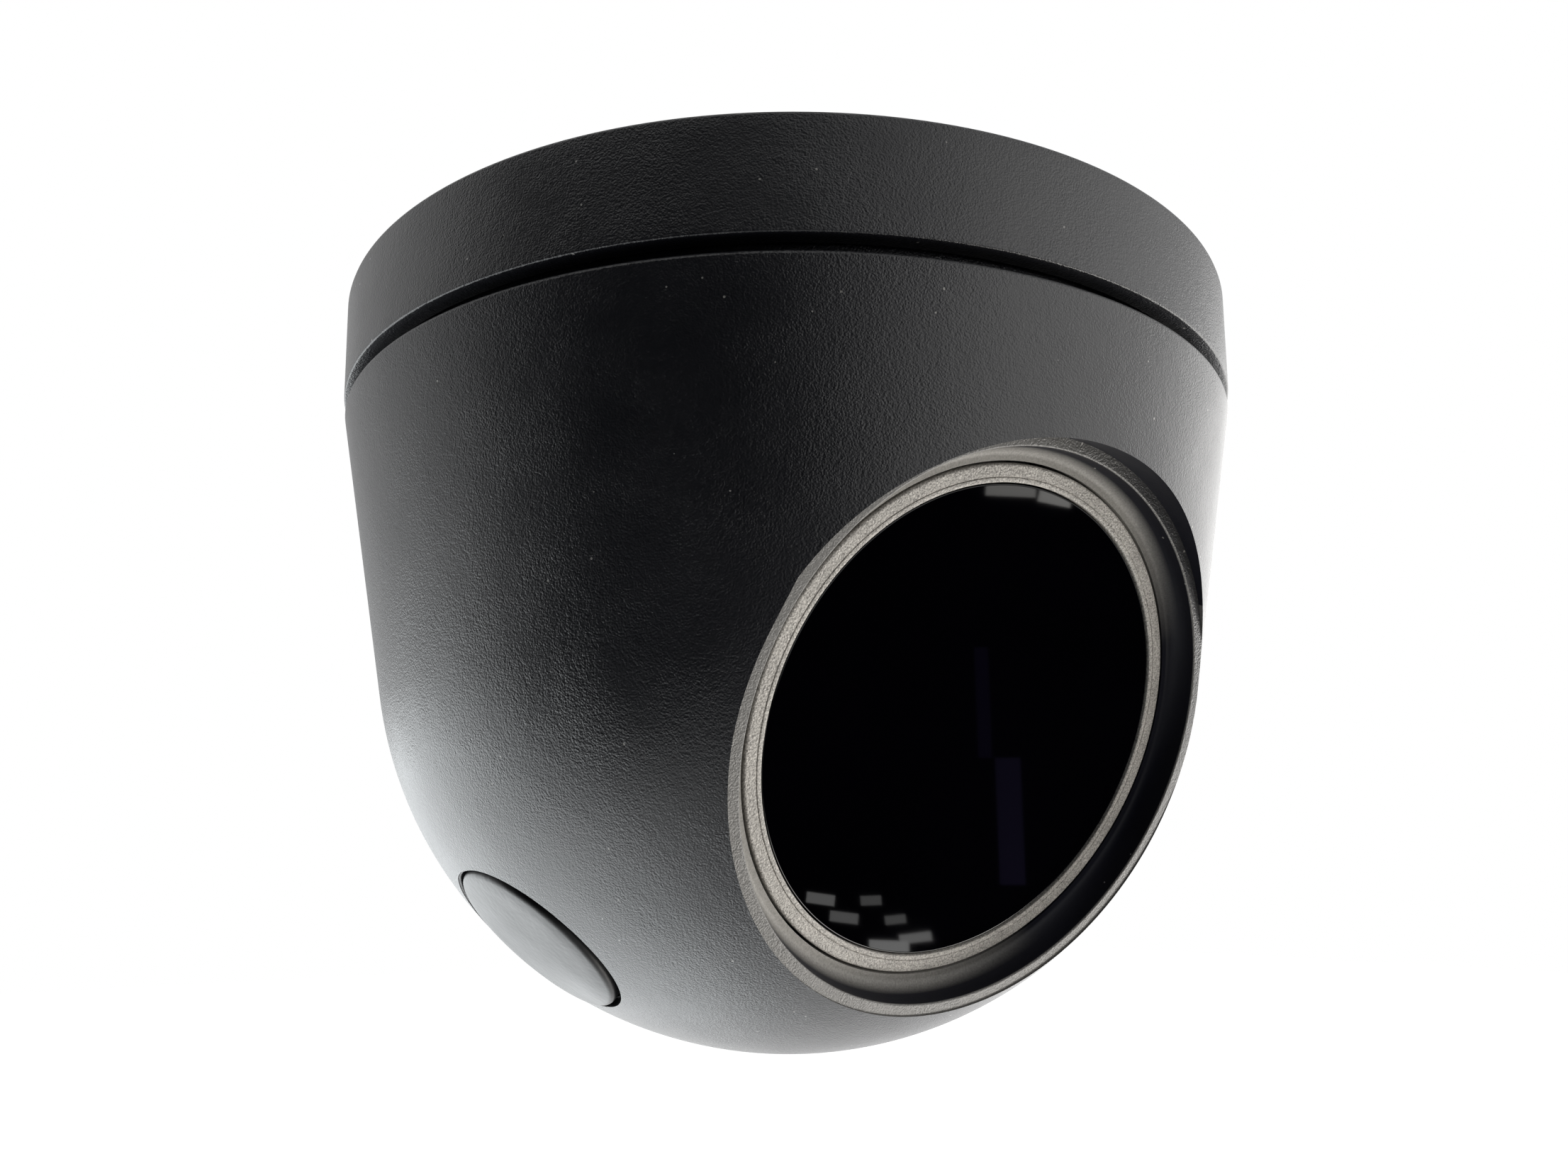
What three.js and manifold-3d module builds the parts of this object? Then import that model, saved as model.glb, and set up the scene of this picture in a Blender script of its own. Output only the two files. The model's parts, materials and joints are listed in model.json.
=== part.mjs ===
// Ceiling security camera: a bell-shaped turret that pans under a ring-shaped mounting base and
// looks out through one recessed round window. Millimetres, +Z up, origin at the centre of the
// ceiling face, window towards -Y.
import * as THREE from 'three';
import Module from 'manifold-3d';
import { mergeVertices } from 'three/addons/utils/BufferGeometryUtils.js';

const wasm = await Module();
wasm.setup();

// ---------------------------------------------------------------- driving dimensions
const clearance = 0.3;            // between pieces that are cut to fit each other
const slip = 0.08;                // radial play of a turning fit
const seatGap = 0.2;              // under a piece that rests in a tilted seat
const hairGap = 0.1;              // between level faces that lie on each other
const bite = 1;                   // how far a joining or cutting solid runs past a face

// screws
const fixingCount = 3;            // screws, bosses and stand-offs come in threes
const fixingStart = 30;           // degrees, first stand-off and flange screw
const bossStart = 90;             // degrees, first shell boss
const headWidthRatio = 2;         // screw head over shank
const headHeightRatio = 1.3;
const screwPlay = 0.2;            // radial play of a shank in its hole
const screwSpare = 1.1;           // hole past the screw's tip
const headPlay = 0.8;             // round a sunk screw head
const flangeScrewRadius = 1;
const flangeScrewBite = 4.6;      // length in the collar
const chassisScrewRadius = 1.2;
const chassisScrewBite = 9;
const boardScrewRadius = 1;
const boardScrewBite = 5.2;
const bracketScrewRadius = 1.2;
const lightScrewRadius = 0.8;
const lightScrewBite = 4;

// mounting base
const baseRadius = 65;            // at the ceiling
const baseDraft = 0.5;            // how much the ring narrows towards its foot
const baseHeight = 13.8;
const baseEdge = 0.5;             // chamfer at the ceiling
const footEdge = 0.25;            // chamfer at the foot
const skirtWall = 2.6;
const skirtDraft = 0.2;
const plateThickness = 3;
const baseRibCount = 6;
const baseRibWidth = 2;
const baseRibDepth = 1.2;
const mountSlotCircle = 45;       // radius of the circle of ceiling screw slots
const mountSlotWidth = 5;
const mountSlotArc = 12;          // degrees
const gasketWidth = 3.2;
const gasketInset = 3.9;          // from the ring's outer edge to the gasket
const gasketDepth = 1.2;
const cableHoleRadius = 7;
const cableHoleOffset = 9.6;      // behind the centre
const cableBore = 4;
const grommetLip = 1.8;
const grommetLipThickness = 1.5;
const grommetTaper = 0.6;
const grommetSink = 0.4;          // top of the grommet under the ceiling face
const grommetMouth = 1;           // how much its bore flares
const grommetMouthDepth = 0.8;

// pan bearing
const collarRadius = 24;          // the hub that the turret turns on
const collarWall = 4.5;
const panFlangeReach = 6;         // how far the flange stands out past the collar
const panFlangeThickness = 1.8;
const frictionRingThickness = 1.2;
const frictionRingInset = 0.5;
const stopRadius = 40;            // circle of the pan stops
const stopWidth = 3.2;
const stopDepth = 4;              // radial size of the stops
const stopGap = 0.4;

// dome
const grooveHeight = 1.7;         // dark parting groove under the base ring
const domeSetback = 0.8;          // dome's top edge inside the base ring
const domeRadius = 57.95;         // half width of the bowl
const domeDrop = 56.95;           // depth of the bowl under its centre
const domeCentreDepth = 44;       // bowl centre under the ceiling
const domeEdgeRound = 0.7;
const shellWall = 2.5;
const lipHeight = 4.2;            // inner lip that rises into the base ring
const lipInset = 2.7;
const lipWall = 2.3;
const lipShoulder = 0.5;
const shellBossRadius = 3.4;
const shellBossInset = 9;         // boss centres inside the dome's top radius
const shellBossWeb = 3;
const shellBossLength = 22;

// chassis and main board
const chassisThickness = 2;
const chassisGap = 2.8;           // from the base's ribs down to the chassis plate
const chassisPlay = 0.4;          // round the plate, inside the lip
const chassisRimWidth = 1.6;
const chassisRimHeight = 1.2;
const pocketWidth = 8;            // lightening pockets, radial
const pocketHalf = 17;            // degrees
const pocketTurn = 32;            // degrees from a boss to a pocket
const boardDrop = 7.2;            // stand-off length
const boardThickness = 1.6;
const boardMargin = 14.2;         // main board edge inside the dome's top radius
const standoffInset = 6;          // stand-offs inside the board's edge
const standoffRadius = 2.8;
const processorSize = 14;
const processorHeight = 1.4;
const padSize = 13;
const padHeight = 0.8;
const sinkWidth = 20;
const sinkBase = 2;
const sinkFins = 5;
const sinkFlangeGap = 2;          // from the pan flange
const sinkBossGap = 3.8;          // from the shell boss
const headerWidth = 12;
const headerDepth = 6;
const headerWall = 1;
const headerFloor = 1.2;
const headerGap = 0.6;            // under the pan flange's level
const headerSpacing = 1.2;        // from the stand-off

// window
const windowTilt = 25;            // degrees under the horizon
const windowRise = 1.55;          // window axis above the bowl centre
const landRadius = 35.4;          // outer edge of the flat land round the recess
const landProud = 0.64;
const landDraft = 0.6;
const lipRadius = 33.95;
const lipRound = 0.5;
const recessDepth = 3.58;
const recessFloorWidth = 0.55;
const bezelRadius = 31.6;
const bezelWidth = 2.2;
const bezelProud = 0.12;
const bezelStep = 0.5;
const bezelLip = 0.05;
const bezelRound = 0.4;
const glassThickness = 3;
const glassSink = 0.3;
const glassEdge = 0.25;
const windowGasketThickness = 0.8;
const windowShelf = 4.9;          // width of the shelf that carries gasket and glass
const windowShelfThickness = 2.4;
const windowTubWall = 2.4;

// service port
const plugAzimuth = -90;          // degrees, 0 is the window's side
const plugElevation = -47.3;
const plugRadius = 12;
const plugProud = 0.25;           // rim of its face over the bowl
const plugCrown = 0.8;
const plugEdgeRound = 0.8;
const plugHeadThickness = 2.7;
const plugBoreRadius = 9.2;
const plugNotch = 1.1;            // wider gap at the window's side, to lift the plug by
const plugNotchDepth = 2;
const plugBossWall = 2.6;
const plugShelfThickness = 4;
const plugStemWall = 2.3;
const plugStemTail = 1;           // stem past the back of the boss
const plugSealRadius = 0.55;
const plugSealDepth = 2.6;        // seal groove behind the plug's shelf
const plugSealPlay = 0.15;
const serviceBoardWidth = 18;
const serviceBoardLength = 15.6;
const serviceBoardThickness = 1.2;
const serviceBoardGap = 0.8;      // behind the plug's stem
const serviceBoardPlay = 0.4;     // in its rails
const railWidth = 3.4;
const railDepth = 5.6;
const railOverhang = 0.6;         // rail centre past the board's edge
const cardWidth = 11;
const cardThickness = 0.8;
const cardLength = 14;
const socketSetback = 1.4;        // from the service board's front edge
const socketWall = 1.5;
const socketHeight = 2.2;
const socketFloor = 1;
const cardPlay = 0.4;             // behind the card, at rest
const cardShow = 0.9;             // how far the card stands out of its socket
const switchWidth = 6;
const switchHeight = 3.6;
const switchLength = 4;
const switchSetback = 0.6;
const buttonRadius = 1;
const buttonSink = 1.6;           // button's foot inside the switch
const buttonShow = 1.2;
const buttonEdge = 0.3;

// tilting carriage and lights
const trunnionReach = 31.4;       // carriage half width at its pivots
const trunnionRadius = 4.2;
const pivotRadius = 2;
const pivotBite = 6;
const bracketThickness = 1.5;
const bracketWidth = 14;
const bracketFoot = 11;
const bracketSlotPlay = 1;        // round the bracket, in the main board
const carriageBore = 16.3;
const carriageWall = 4.7;
const carriageLength = 8;
const lightPostRadius = 1.6;
const lightPostSpacing = 1.3;     // from the carriage's bore to the post
const lightBoardBack = 10;        // light board behind the lens front
const lightBoardRadius = 22.5;
const lightBoardSpacing = 1.6;    // round the focus ring
const emitterCount = 4;
const emitterStart = 45;          // degrees
const emitterCircle = 16.4;
const emitterSize = 3.5;
const emitterHeight = 0.9;
const emitterDomeRadius = 1.5;
const emitterDomeSink = 0.3;
const shieldFoot = 3;
const shieldFootHeight = 0.8;
const shieldWall = 1.1;
const shieldFlare = 0.5;          // extra wall at the shield's root
const shieldSetback = 1.2;        // behind the lens front

// rolling sensor unit and lens
const rollWall = 2.4;
const rollTail = 3;               // ring behind the carriage
const rollFace = 2;               // front wall inside the carriage
const rollAperture = 5.4;
const rollFlangeReach = 0.9;
const rollFlangeThickness = 1.5;
const rollBeadInset = 1;
const clipThickness = 1;
const clipSetback = 0.5;          // from the carriage to the clip's groove
const clipGrooveDepth = 1.8;
const clipReach = 1.6;            // clip past the carriage's bore
const clipGapHalf = 4;
const sensorBoardSize = 28;
const sensorBoardCorner = 3;
const sensorBoardSpacing = 4;     // behind the roll ring
const sensorPinInset = 3;
const sensorPinRadius = 1;
const sensorPinTip = 0.8;
const sensorPostRadius = 2.2;
const sensorWidth = 11;
const sensorHeight = 9;
const sensorThickness = 1.6;
const sensorCorner = 0.5;
const filterWidth = 24;
const filterHeight = 14;
const filterDepth = 7;
const filterCorner = 2;
const filterTravel = 7;
const filterAperture = 3;
const bladeLength = 14.4;
const bladeHeight = 8;
const bladeThickness = 1.5;
const bladeCorner = 1;
const paneSize = 5.2;
const neckLength = 3;
const neckWall = 1.6;
const neckSeat = 1.5;             // depth of the lens seat in the filter housing
const lensClearance = 4.3;        // from the glass to the lens front
const lensRadius = 7;
const lensBore = 5.2;
const lensEngagement = 1.2;       // lens inside the filter housing
const lensFrontRadius = 8.4;
const lensHeadLength = 6;
const lensHeadTaper = 1.4;
const lensEdge = 0.4;
const lensMouth = 6.8;
const lensMouthTaper = 0.4;
const lensMouthDepth = 2.6;
const frontElementRadius = 6.1;
const frontElementRim = 1;
const frontElementBulge = 1.5;
const rearElementRadius = 4.9;
const rearElementRim = 1.2;
const rearElementBulge = 1;
const rearElementPlace = 0.6;     // from the barrel's back
const elementGap = 0.2;
const focusRingLength = 5.6;
const focusRingRadius = 10;
const focusTeeth = 16;
const focusToothDepth = 0.7;

// facets
const largeSides = 44;            // large turned forms
const windowSides = 32;
const ringSides = 24;
const plugSides = 18;
const carriageSides = 18;
const smallSides = 12;
const tinySides = 8;
const bowlSteps = 8;            // of the outside, and half as many inside

// ---------------------------------------------------------------- derived levels and radii
const plateUnder = -plateThickness;
const ribUnder = plateUnder - baseRibDepth;
const chassisTop = ribUnder - chassisGap;
const chassisUnder = chassisTop - chassisThickness;
const frictionTop = chassisUnder - hairGap;
const collarFoot = frictionTop - frictionRingThickness;
const flangeUnder = collarFoot - panFlangeThickness;
const collarBore = collarRadius - collarWall;
const collarMiddle = collarRadius - collarWall / 2;
const flangeRadius = collarRadius + panFlangeReach;
const gasketOuter = baseRadius - gasketInset;

const domeTopRadius = baseRadius - domeSetback;
const domeTop = -baseHeight - grooveHeight;
const lipTop = domeTop + lipHeight;
const lipOuter = domeTopRadius - lipInset;
const lipInner = lipOuter - lipWall;
const pastDome = domeRadius * 1.5;   // safely outside the dome's surface

const shellBossCircle = domeTopRadius - shellBossInset;
const boardTop = chassisUnder - boardDrop;
const boardUnder = boardTop - boardThickness;
const boardRadius = domeTopRadius - boardMargin;
const standoffCircle = boardRadius - standoffInset;

const pivotDepth = domeCentreDepth - windowRise;
const landLevel = Math.sqrt(domeRadius ** 2 - landRadius ** 2) + landProud;
const floorLevel = landLevel - recessDepth;
const bezelFace = floorLevel + bezelProud;
const glassFace = bezelFace - glassSink;
const glassBack = glassFace - glassThickness;
const glassRadius = bezelRadius - bezelWidth - seatGap;
const gasketTop = glassBack - seatGap;
const windowSeat = gasketTop - windowGasketThickness - seatGap;
const windowBore = bezelRadius + clearance;
const windowHole = windowBore - windowShelf - clearance;
const windowTubBack = windowSeat - windowShelfThickness;
const windowTubRadius = landRadius + windowTubWall;

const plugTilt = THREE.MathUtils.degToRad(plugElevation);
const plugBowl = 1 / Math.hypot(Math.cos(plugTilt) / domeRadius, Math.sin(plugTilt) / domeDrop);
const plugFace = Math.sqrt(plugBowl ** 2 - plugRadius ** 2) + plugProud;
const plugHeadUnder = plugFace - plugHeadThickness;
const plugShelf = plugHeadUnder - clearance;
const plugBossBack = plugShelf - plugShelfThickness;
const plugBossRadius = plugRadius + clearance + plugBossWall;
const plugStemRadius = plugBoreRadius - clearance;
const plugStemBack = plugBossBack - plugStemTail;
const sealGroove = 2 * plugSealRadius + clearance;
const sealGrooveBack = plugShelf - plugSealDepth;
const serviceFront = plugStemBack - serviceBoardGap;
const serviceBack = serviceFront - serviceBoardLength;

const bracketPlane = trunnionReach + clearance;
const bracketScrewX = bracketPlane + bracketThickness + bracketFoot / 2;
const lensFront = glassBack - lensClearance;
const lightBoardUnder = lensFront - lightBoardBack;
const lightBoardTop = lightBoardUnder + boardThickness;
const lightFoot = lightBoardTop + hairGap;
const lightPostCircle = carriageBore + lightPostSpacing + lightPostRadius;
const lightPostAngles = [Math.PI / 2, -Math.PI / 2];
const carriageRadius = carriageBore + carriageWall;
const carriageHalf = carriageLength / 2;

const rollRadius = carriageBore - clearance;
const rollBack = -carriageHalf - rollTail;
const rollFlangeBack = carriageHalf + clearance;
const rollFlangeFront = rollFlangeBack + rollFlangeThickness;
const clipFront = -carriageHalf - clipSetback - seatGap;
const sensorBoardFront = rollBack - sensorBoardSpacing;
const sensorBoardBack = sensorBoardFront - boardThickness;
const sensorPinPlace = sensorBoardSize / 2 - sensorPinInset;
const filterBack = rollFlangeFront + clearance;
const filterFront = filterBack + filterDepth;
const bladeBack = filterBack + (filterDepth - bladeThickness) / 2;
const bladeFront = bladeBack + bladeThickness;
const neckFront = filterFront + neckLength;
const focusBack = neckFront + clearance;
const focusFront = focusBack + focusRingLength;

// ---------------------------------------------------------------- materials
function finish(color, roughness, metalness = 0) {
  return new THREE.MeshStandardMaterial({ color, roughness, metalness });
}
const finishes = {
  shell: finish(0x1b1b1c, 0.55),
  bezel: finish(0x3a3733, 0.6),
  plug: finish(0x1f2022, 0.5),
  rubber: finish(0x121212, 0.85),
  glass: finish(0x020203, 0.04),
  cast: finish(0x5a5c5e, 0.5, 0.9),
  steel: finish(0x9a9c9e, 0.35, 1),
  board: finish(0x123a22, 0.5),
  chip: finish(0x17181a, 0.45),
  connector: finish(0xd8d2c0, 0.5),
  nylon: finish(0x222325, 0.5),
  lens: finish(0x10141c, 0.05),
  emitter: finish(0xe6e2d0, 0.3),
  filter: finish(0x5f8fa6, 0.08),
  pad: finish(0x8fa0b0, 0.9),
};

// ---------------------------------------------------------------- geometry helpers
const radians = THREE.MathUtils.degToRad;
const weldDistance = 1e-5;

function toSolid(geometry) {
  const bare = new THREE.BufferGeometry();
  bare.setAttribute('position', geometry.getAttribute('position'));
  bare.setIndex(geometry.getIndex());
  const welded = mergeVertices(bare, weldDistance);
  const index = welded.getIndex().array;
  const triangles = [];
  for (let i = 0; i < index.length; i += 3) {
    const [a, b, c] = [index[i], index[i + 1], index[i + 2]];
    if (a !== b && b !== c && c !== a) triangles.push(a, b, c);
  }
  const vertProperties = new Float32Array(welded.getAttribute('position').array);
  const triVerts = new Uint32Array(triangles);
  return new wasm.Manifold(new wasm.Mesh({ numProp: 3, vertProperties, triVerts }));
}

function fromSolid(solid) {
  const mesh = solid.getMesh();
  const geometry = new THREE.BufferGeometry();
  geometry.setAttribute('position', new THREE.BufferAttribute(mesh.vertProperties, 3));
  geometry.setIndex(new THREE.BufferAttribute(mesh.triVerts, 1));
  return geometry;
}

function join(first, ...others) {
  return fromSolid(others.reduce((sum, next) => sum.add(toSolid(next)), toSolid(first)));
}

function cut(first, ...tools) {
  return fromSolid(tools.reduce((rest, tool) => rest.subtract(toSolid(tool)), toSolid(first)));
}

function common(first, second) {
  return fromSolid(toSolid(first).intersect(toSolid(second)));
}

// A closed (radius, height) outline, counter-clockwise, turned about +Z.
function turned(outline, sides = ringSides) {
  const points = outline.map(([radius, height]) => new THREE.Vector2(radius, height));
  const closed = points[0].x > 0 || points.at(-1).x > 0;
  if (closed) points.push(points[0].clone());
  return new THREE.LatheGeometry(points, sides).rotateX(Math.PI / 2);
}

function rod(radius, low, high, sides = smallSides) {
  return turned([[0, low], [radius, low], [radius, high], [0, high]], sides);
}

function ring(inner, outer, low, high, sides = ringSides) {
  return turned([[inner, low], [outer, low], [outer, high], [inner, high]], sides);
}

function block(width, depth, low, high) {
  return new THREE.BoxGeometry(width, depth, high - low).translate(0, 0, (low + high) / 2);
}

function roundedPlate(width, height, corner) {
  const shape = new THREE.Shape();
  const [x, y] = [width / 2, height / 2];
  shape.moveTo(-x + corner, -y);
  shape.lineTo(x - corner, -y);
  shape.absarc(x - corner, -y + corner, corner, -Math.PI / 2, 0);
  shape.lineTo(x, y - corner);
  shape.absarc(x - corner, y - corner, corner, 0, Math.PI / 2);
  shape.lineTo(-x + corner, y);
  shape.absarc(-x + corner, y - corner, corner, Math.PI / 2, Math.PI);
  shape.lineTo(-x, -y + corner);
  shape.absarc(-x + corner, -y + corner, corner, Math.PI, 1.5 * Math.PI);
  return shape;
}

function prism(shape, low, high, curveSegments = 4) {
  const options = { depth: high - low, bevelEnabled: false, curveSegments };
  return new THREE.ExtrudeGeometry(shape, options).translate(0, 0, low);
}

function around(count, start, make) {
  return Array.from({ length: count }, (_, i) => make(radians(start + (360 * i) / count), i));
}

function onCircle(geometry, circle, angle) {
  return geometry.translate(circle, 0, 0).rotateZ(angle);
}

function onBothSides(make) {
  return [1, -1].map(make);
}

// Part of a circle as points, from one angle to the other, in degrees.
function arc(centreX, centreY, radius, from, to, steps) {
  return Array.from({ length: steps + 1 }, (_, i) => {
    const angle = radians(from + ((to - from) * i) / steps);
    return [centreX + radius * Math.cos(angle), centreY + radius * Math.sin(angle)];
  });
}

// A pan-head screw: head under, shank up, with a square socket in the head's face.
function screw(shankRadius, shankLength) {
  const headRadius = shankRadius * headWidthRatio;
  const headHeight = shankRadius * headHeightRatio;
  const edge = headRadius / 5;
  const body = turned([
    [0, -headHeight],
    [headRadius - edge, -headHeight],
    [headRadius, edge - headHeight],
    [headRadius, 0],
    [shankRadius, 0],
    [shankRadius, shankLength],
    [0, shankLength],
  ], tinySides);
  return cut(body, rod(headRadius / 2, -headHeight - bite, -headHeight / 2, 4));
}

function screwHole(shankRadius, low, high) {
  return rod(shankRadius + screwPlay, low, high, tinySides);
}

// Turns a piece modelled along +Z so that it points at an azimuth and elevation from the axis.
function aim(azimuth, elevation, depth) {
  const turn = new THREE.Matrix4().makeRotationZ(radians(azimuth));
  turn.multiply(new THREE.Matrix4().makeRotationX(Math.PI / 2 - radians(elevation)));
  return new THREE.Matrix4().makeTranslation(0, 0, -depth).multiply(turn);
}

function piece(name, geometry, material) {
  const mesh = new THREE.Mesh(geometry, material);
  mesh.name = name;
  return mesh;
}

function group(...members) {
  return new THREE.Group().add(...members.flat(Infinity));
}

// ---------------------------------------------------------------- mounting base
function mountSlot(angle) {
  const half = radians(mountSlotArc / 2);
  const end = mountSlotWidth / 2;
  const shape = new THREE.Shape();
  shape.absarc(0, 0, mountSlotCircle + end, -half, half);
  shape.absarc(0, 0, mountSlotCircle - end, half, -half, true);
  const ends = [-half, half].map((at) => onCircle(
    rod(end, plateUnder - bite, bite, tinySides),
    mountSlotCircle,
    at,
  ));
  return join(prism(shape, plateUnder - bite, bite, 2), ...ends).rotateZ(angle);
}

function mountingBase() {
  const foot = baseRadius - baseDraft;
  const wallInner = baseRadius - skirtWall;
  const body = turned([
    [0, plateUnder],
    [wallInner, plateUnder],
    [wallInner - skirtDraft, -baseHeight],
    [foot - footEdge, -baseHeight],
    [foot, footEdge - baseHeight],
    [baseRadius, -baseEdge],
    [baseRadius - baseEdge, 0],
    [0, 0],
  ], largeSides);
  const collar = ring(collarBore, collarRadius, collarFoot, plateUnder + bite);
  const ribLength = wallInner - collarRadius + 2 * bite;
  const ribs = around(baseRibCount, 0, (angle) => onCircle(
    block(ribLength, baseRibWidth, ribUnder, plateUnder + bite),
    collarRadius - bite + ribLength / 2,
    angle,
  ));
  const stop = block(stopDepth, stopWidth, chassisTop + stopGap, plateUnder + bite);
  const groove = ring(gasketOuter - gasketWidth - clearance, gasketOuter + clearance, -gasketDepth, bite);
  const holeTop = collarFoot + flangeScrewBite + screwSpare;
  return cut(
    join(body, collar, ...ribs, onCircle(stop, stopRadius, Math.PI / 2)),
    groove,
    rod(cableHoleRadius, plateUnder - bite, bite).translate(0, cableHoleOffset, 0),
    ...around(fixingCount, fixingStart, mountSlot),
    ...around(fixingCount, fixingStart, (angle) => onCircle(
      screwHole(flangeScrewRadius, collarFoot - bite, holeTop),
      collarMiddle,
      angle,
    )),
  );
}

function cableGrommet() {
  const neck = cableHoleRadius - clearance;
  const top = plateUnder - hairGap;
  return turned([
    [cableBore, top - grommetLipThickness - grommetTaper],
    [neck + grommetLip, top - grommetLipThickness],
    [neck + grommetLip, top],
    [neck, top],
    [neck, -grommetSink],
    [cableBore + grommetMouth, -grommetSink],
    [cableBore, -grommetSink - grommetMouthDepth],
  ], smallSides).translate(0, cableHoleOffset, 0);
}

function panFlange() {
  const plate = ring(collarBore, flangeRadius, flangeUnder, collarFoot);
  return cut(plate, ...around(fixingCount, fixingStart, (angle) => onCircle(
    screwHole(flangeScrewRadius, flangeUnder - bite, collarFoot + bite),
    collarMiddle,
    angle,
  )));
}

function base() {
  const gasket = ring(gasketOuter - gasketWidth, gasketOuter, seatGap - gasketDepth, 0);
  const drag = ring(collarRadius + clearance, flangeRadius - frictionRingInset, collarFoot, frictionTop);
  const screws = around(fixingCount, fixingStart, (angle, i) => {
    const one = screw(flangeScrewRadius, panFlangeThickness + flangeScrewBite);
    one.translate(collarMiddle, 0, flangeUnder);
    return piece(`flange_screw_${i + 1}`, one.rotateZ(angle), finishes.steel);
  });
  return group(
    piece('mounting_base', mountingBase(), finishes.shell),
    piece('ceiling_gasket', gasket, finishes.rubber),
    piece('cable_grommet', cableGrommet(), finishes.rubber),
    piece('pan_flange', panFlange(), finishes.steel),
    piece('friction_ring', drag, finishes.pad),
    screws,
  );
}

// ---------------------------------------------------------------- dome shell
const windowPose = aim(0, -windowTilt, pivotDepth);
const plugPose = aim(plugAzimuth, plugElevation, domeCentreDepth);

// The bell's outline, inset by a wall: a tapering side that runs tangent into an elliptic bowl.
function bellOutline(inset, topLevel, steps) {
  const wide = domeRadius - inset;
  const deep = domeDrop - inset;
  const topRadius = domeTopRadius - inset;
  const rise = ((domeCentreDepth + topLevel) * wide) / deep;
  const tangent = Math.atan2(rise, topRadius) - Math.acos(wide / Math.hypot(topRadius, rise));
  const bowl = Array.from({ length: steps + 1 }, (_, i) => {
    const angle = -Math.PI / 2 + ((tangent + Math.PI / 2) * i) / steps;
    return [i === 0 ? 0 : wide * Math.cos(angle), -domeCentreDepth + deep * Math.sin(angle)];
  });
  return [...bowl, [topRadius, topLevel]];
}

function windowRecess() {
  const floorEdge = windowBore + recessFloorWidth;
  const rise = recessDepth - lipRound;
  const wallSteps = 3;
  const wall = Array.from({ length: wallSteps - 1 }, (_, i) => {
    const turn = ((i + 1) / wallSteps) * (Math.PI / 2);
    return [floorEdge + (lipRadius - floorEdge) * Math.sin(turn), floorLevel + rise * (1 - Math.cos(turn))];
  });
  return turned([
    [0, 0],
    [windowHole, 0],
    [windowHole, windowSeat],
    [windowBore, windowSeat],
    [windowBore, floorLevel],
    [floorEdge, floorLevel],
    ...wall,
    ...arc(lipRadius + lipRound, landLevel - lipRound, lipRound, 180, 90, 2),
    [landRadius, landLevel],
    [landRadius + landDraft, pastDome],
    [0, pastDome],
  ], windowSides).applyMatrix4(windowPose);
}

function windowTub(outside) {
  const tub = rod(windowTubRadius, windowTubBack, pastDome, windowSides);
  return common(tub.applyMatrix4(windowPose), outside);
}

// The boss round the service port, with two slotted rails that hold the service board.
function servicePort(outside) {
  const boss = rod(plugBossRadius, plugBossBack, pastDome, plugSides);
  const rails = onBothSides((side) => block(railWidth, railDepth, serviceBack + bite, plugBossBack + bite)
    .translate(side * (serviceBoardWidth / 2 + railOverhang), 0, 0));
  const slot = block(
    serviceBoardWidth + 2 * serviceBoardPlay,
    serviceBoardThickness + 2 * clearance,
    serviceBack,
    serviceFront + serviceBoardPlay,
  );
  return common(cut(join(boss, ...rails), slot).applyMatrix4(plugPose), outside);
}

function servicePortHole() {
  const seat = plugRadius + clearance;
  const notch = rod(seat, plugFace - plugNotchDepth, pastDome, plugSides).translate(plugNotch, 0, 0);
  const hole = turned([
    [0, plugBossBack - bite],
    [plugBoreRadius, plugBossBack - bite],
    [plugBoreRadius, plugShelf],
    [seat, plugShelf],
    [seat, pastDome],
    [0, pastDome],
  ], plugSides);
  return join(hole, notch).applyMatrix4(plugPose);
}

function domeShell() {
  const outside = turned([
    ...bellOutline(0, domeTop - domeEdgeRound, bowlSteps),
    ...arc(domeTopRadius - domeEdgeRound, domeTop - domeEdgeRound, domeEdgeRound, 45, 90, 1),
    [lipOuter, domeTop],
    [lipOuter, lipTop],
    [0, lipTop],
  ], largeSides);
  const inside = turned([
    ...bellOutline(shellWall, domeTop, bowlSteps / 2),
    [lipInner, domeTop + lipShoulder],
    [lipInner, lipTop + bite],
    [0, lipTop + bite],
  ], ringSides);
  const bossLow = chassisUnder - shellBossLength;
  const webLength = lipOuter - lipWall / 2 - shellBossCircle;
  const web = block(webLength, shellBossWeb, bossLow, chassisUnder).translate(webLength / 2, 0, 0);
  const boss = join(rod(shellBossRadius, bossLow, chassisUnder, tinySides), web);
  const bosses = around(fixingCount, bossStart, (angle) => onCircle(boss.clone(), shellBossCircle, angle));
  const holeLow = chassisUnder - chassisScrewBite - screwSpare;
  const bossHoles = around(fixingCount, bossStart, (angle) => onCircle(
    screwHole(chassisScrewRadius, holeLow, chassisUnder + bite),
    shellBossCircle,
    angle,
  ));
  return cut(
    join(cut(outside, inside), windowTub(outside), servicePort(outside), ...bosses),
    windowRecess(),
    servicePortHole(),
    ...bossHoles,
  );
}

// ---------------------------------------------------------------- window pieces
function windowBezel() {
  const inner = glassRadius + seatGap;
  return turned([
    [inner, glassBack],
    [bezelRadius, glassBack],
    ...arc(bezelRadius - bezelRound, bezelFace - bezelRound, bezelRound, 0, 90, 1),
    [inner + bezelStep, bezelFace],
    [inner, glassFace + bezelLip],
  ], windowSides);
}

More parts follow.
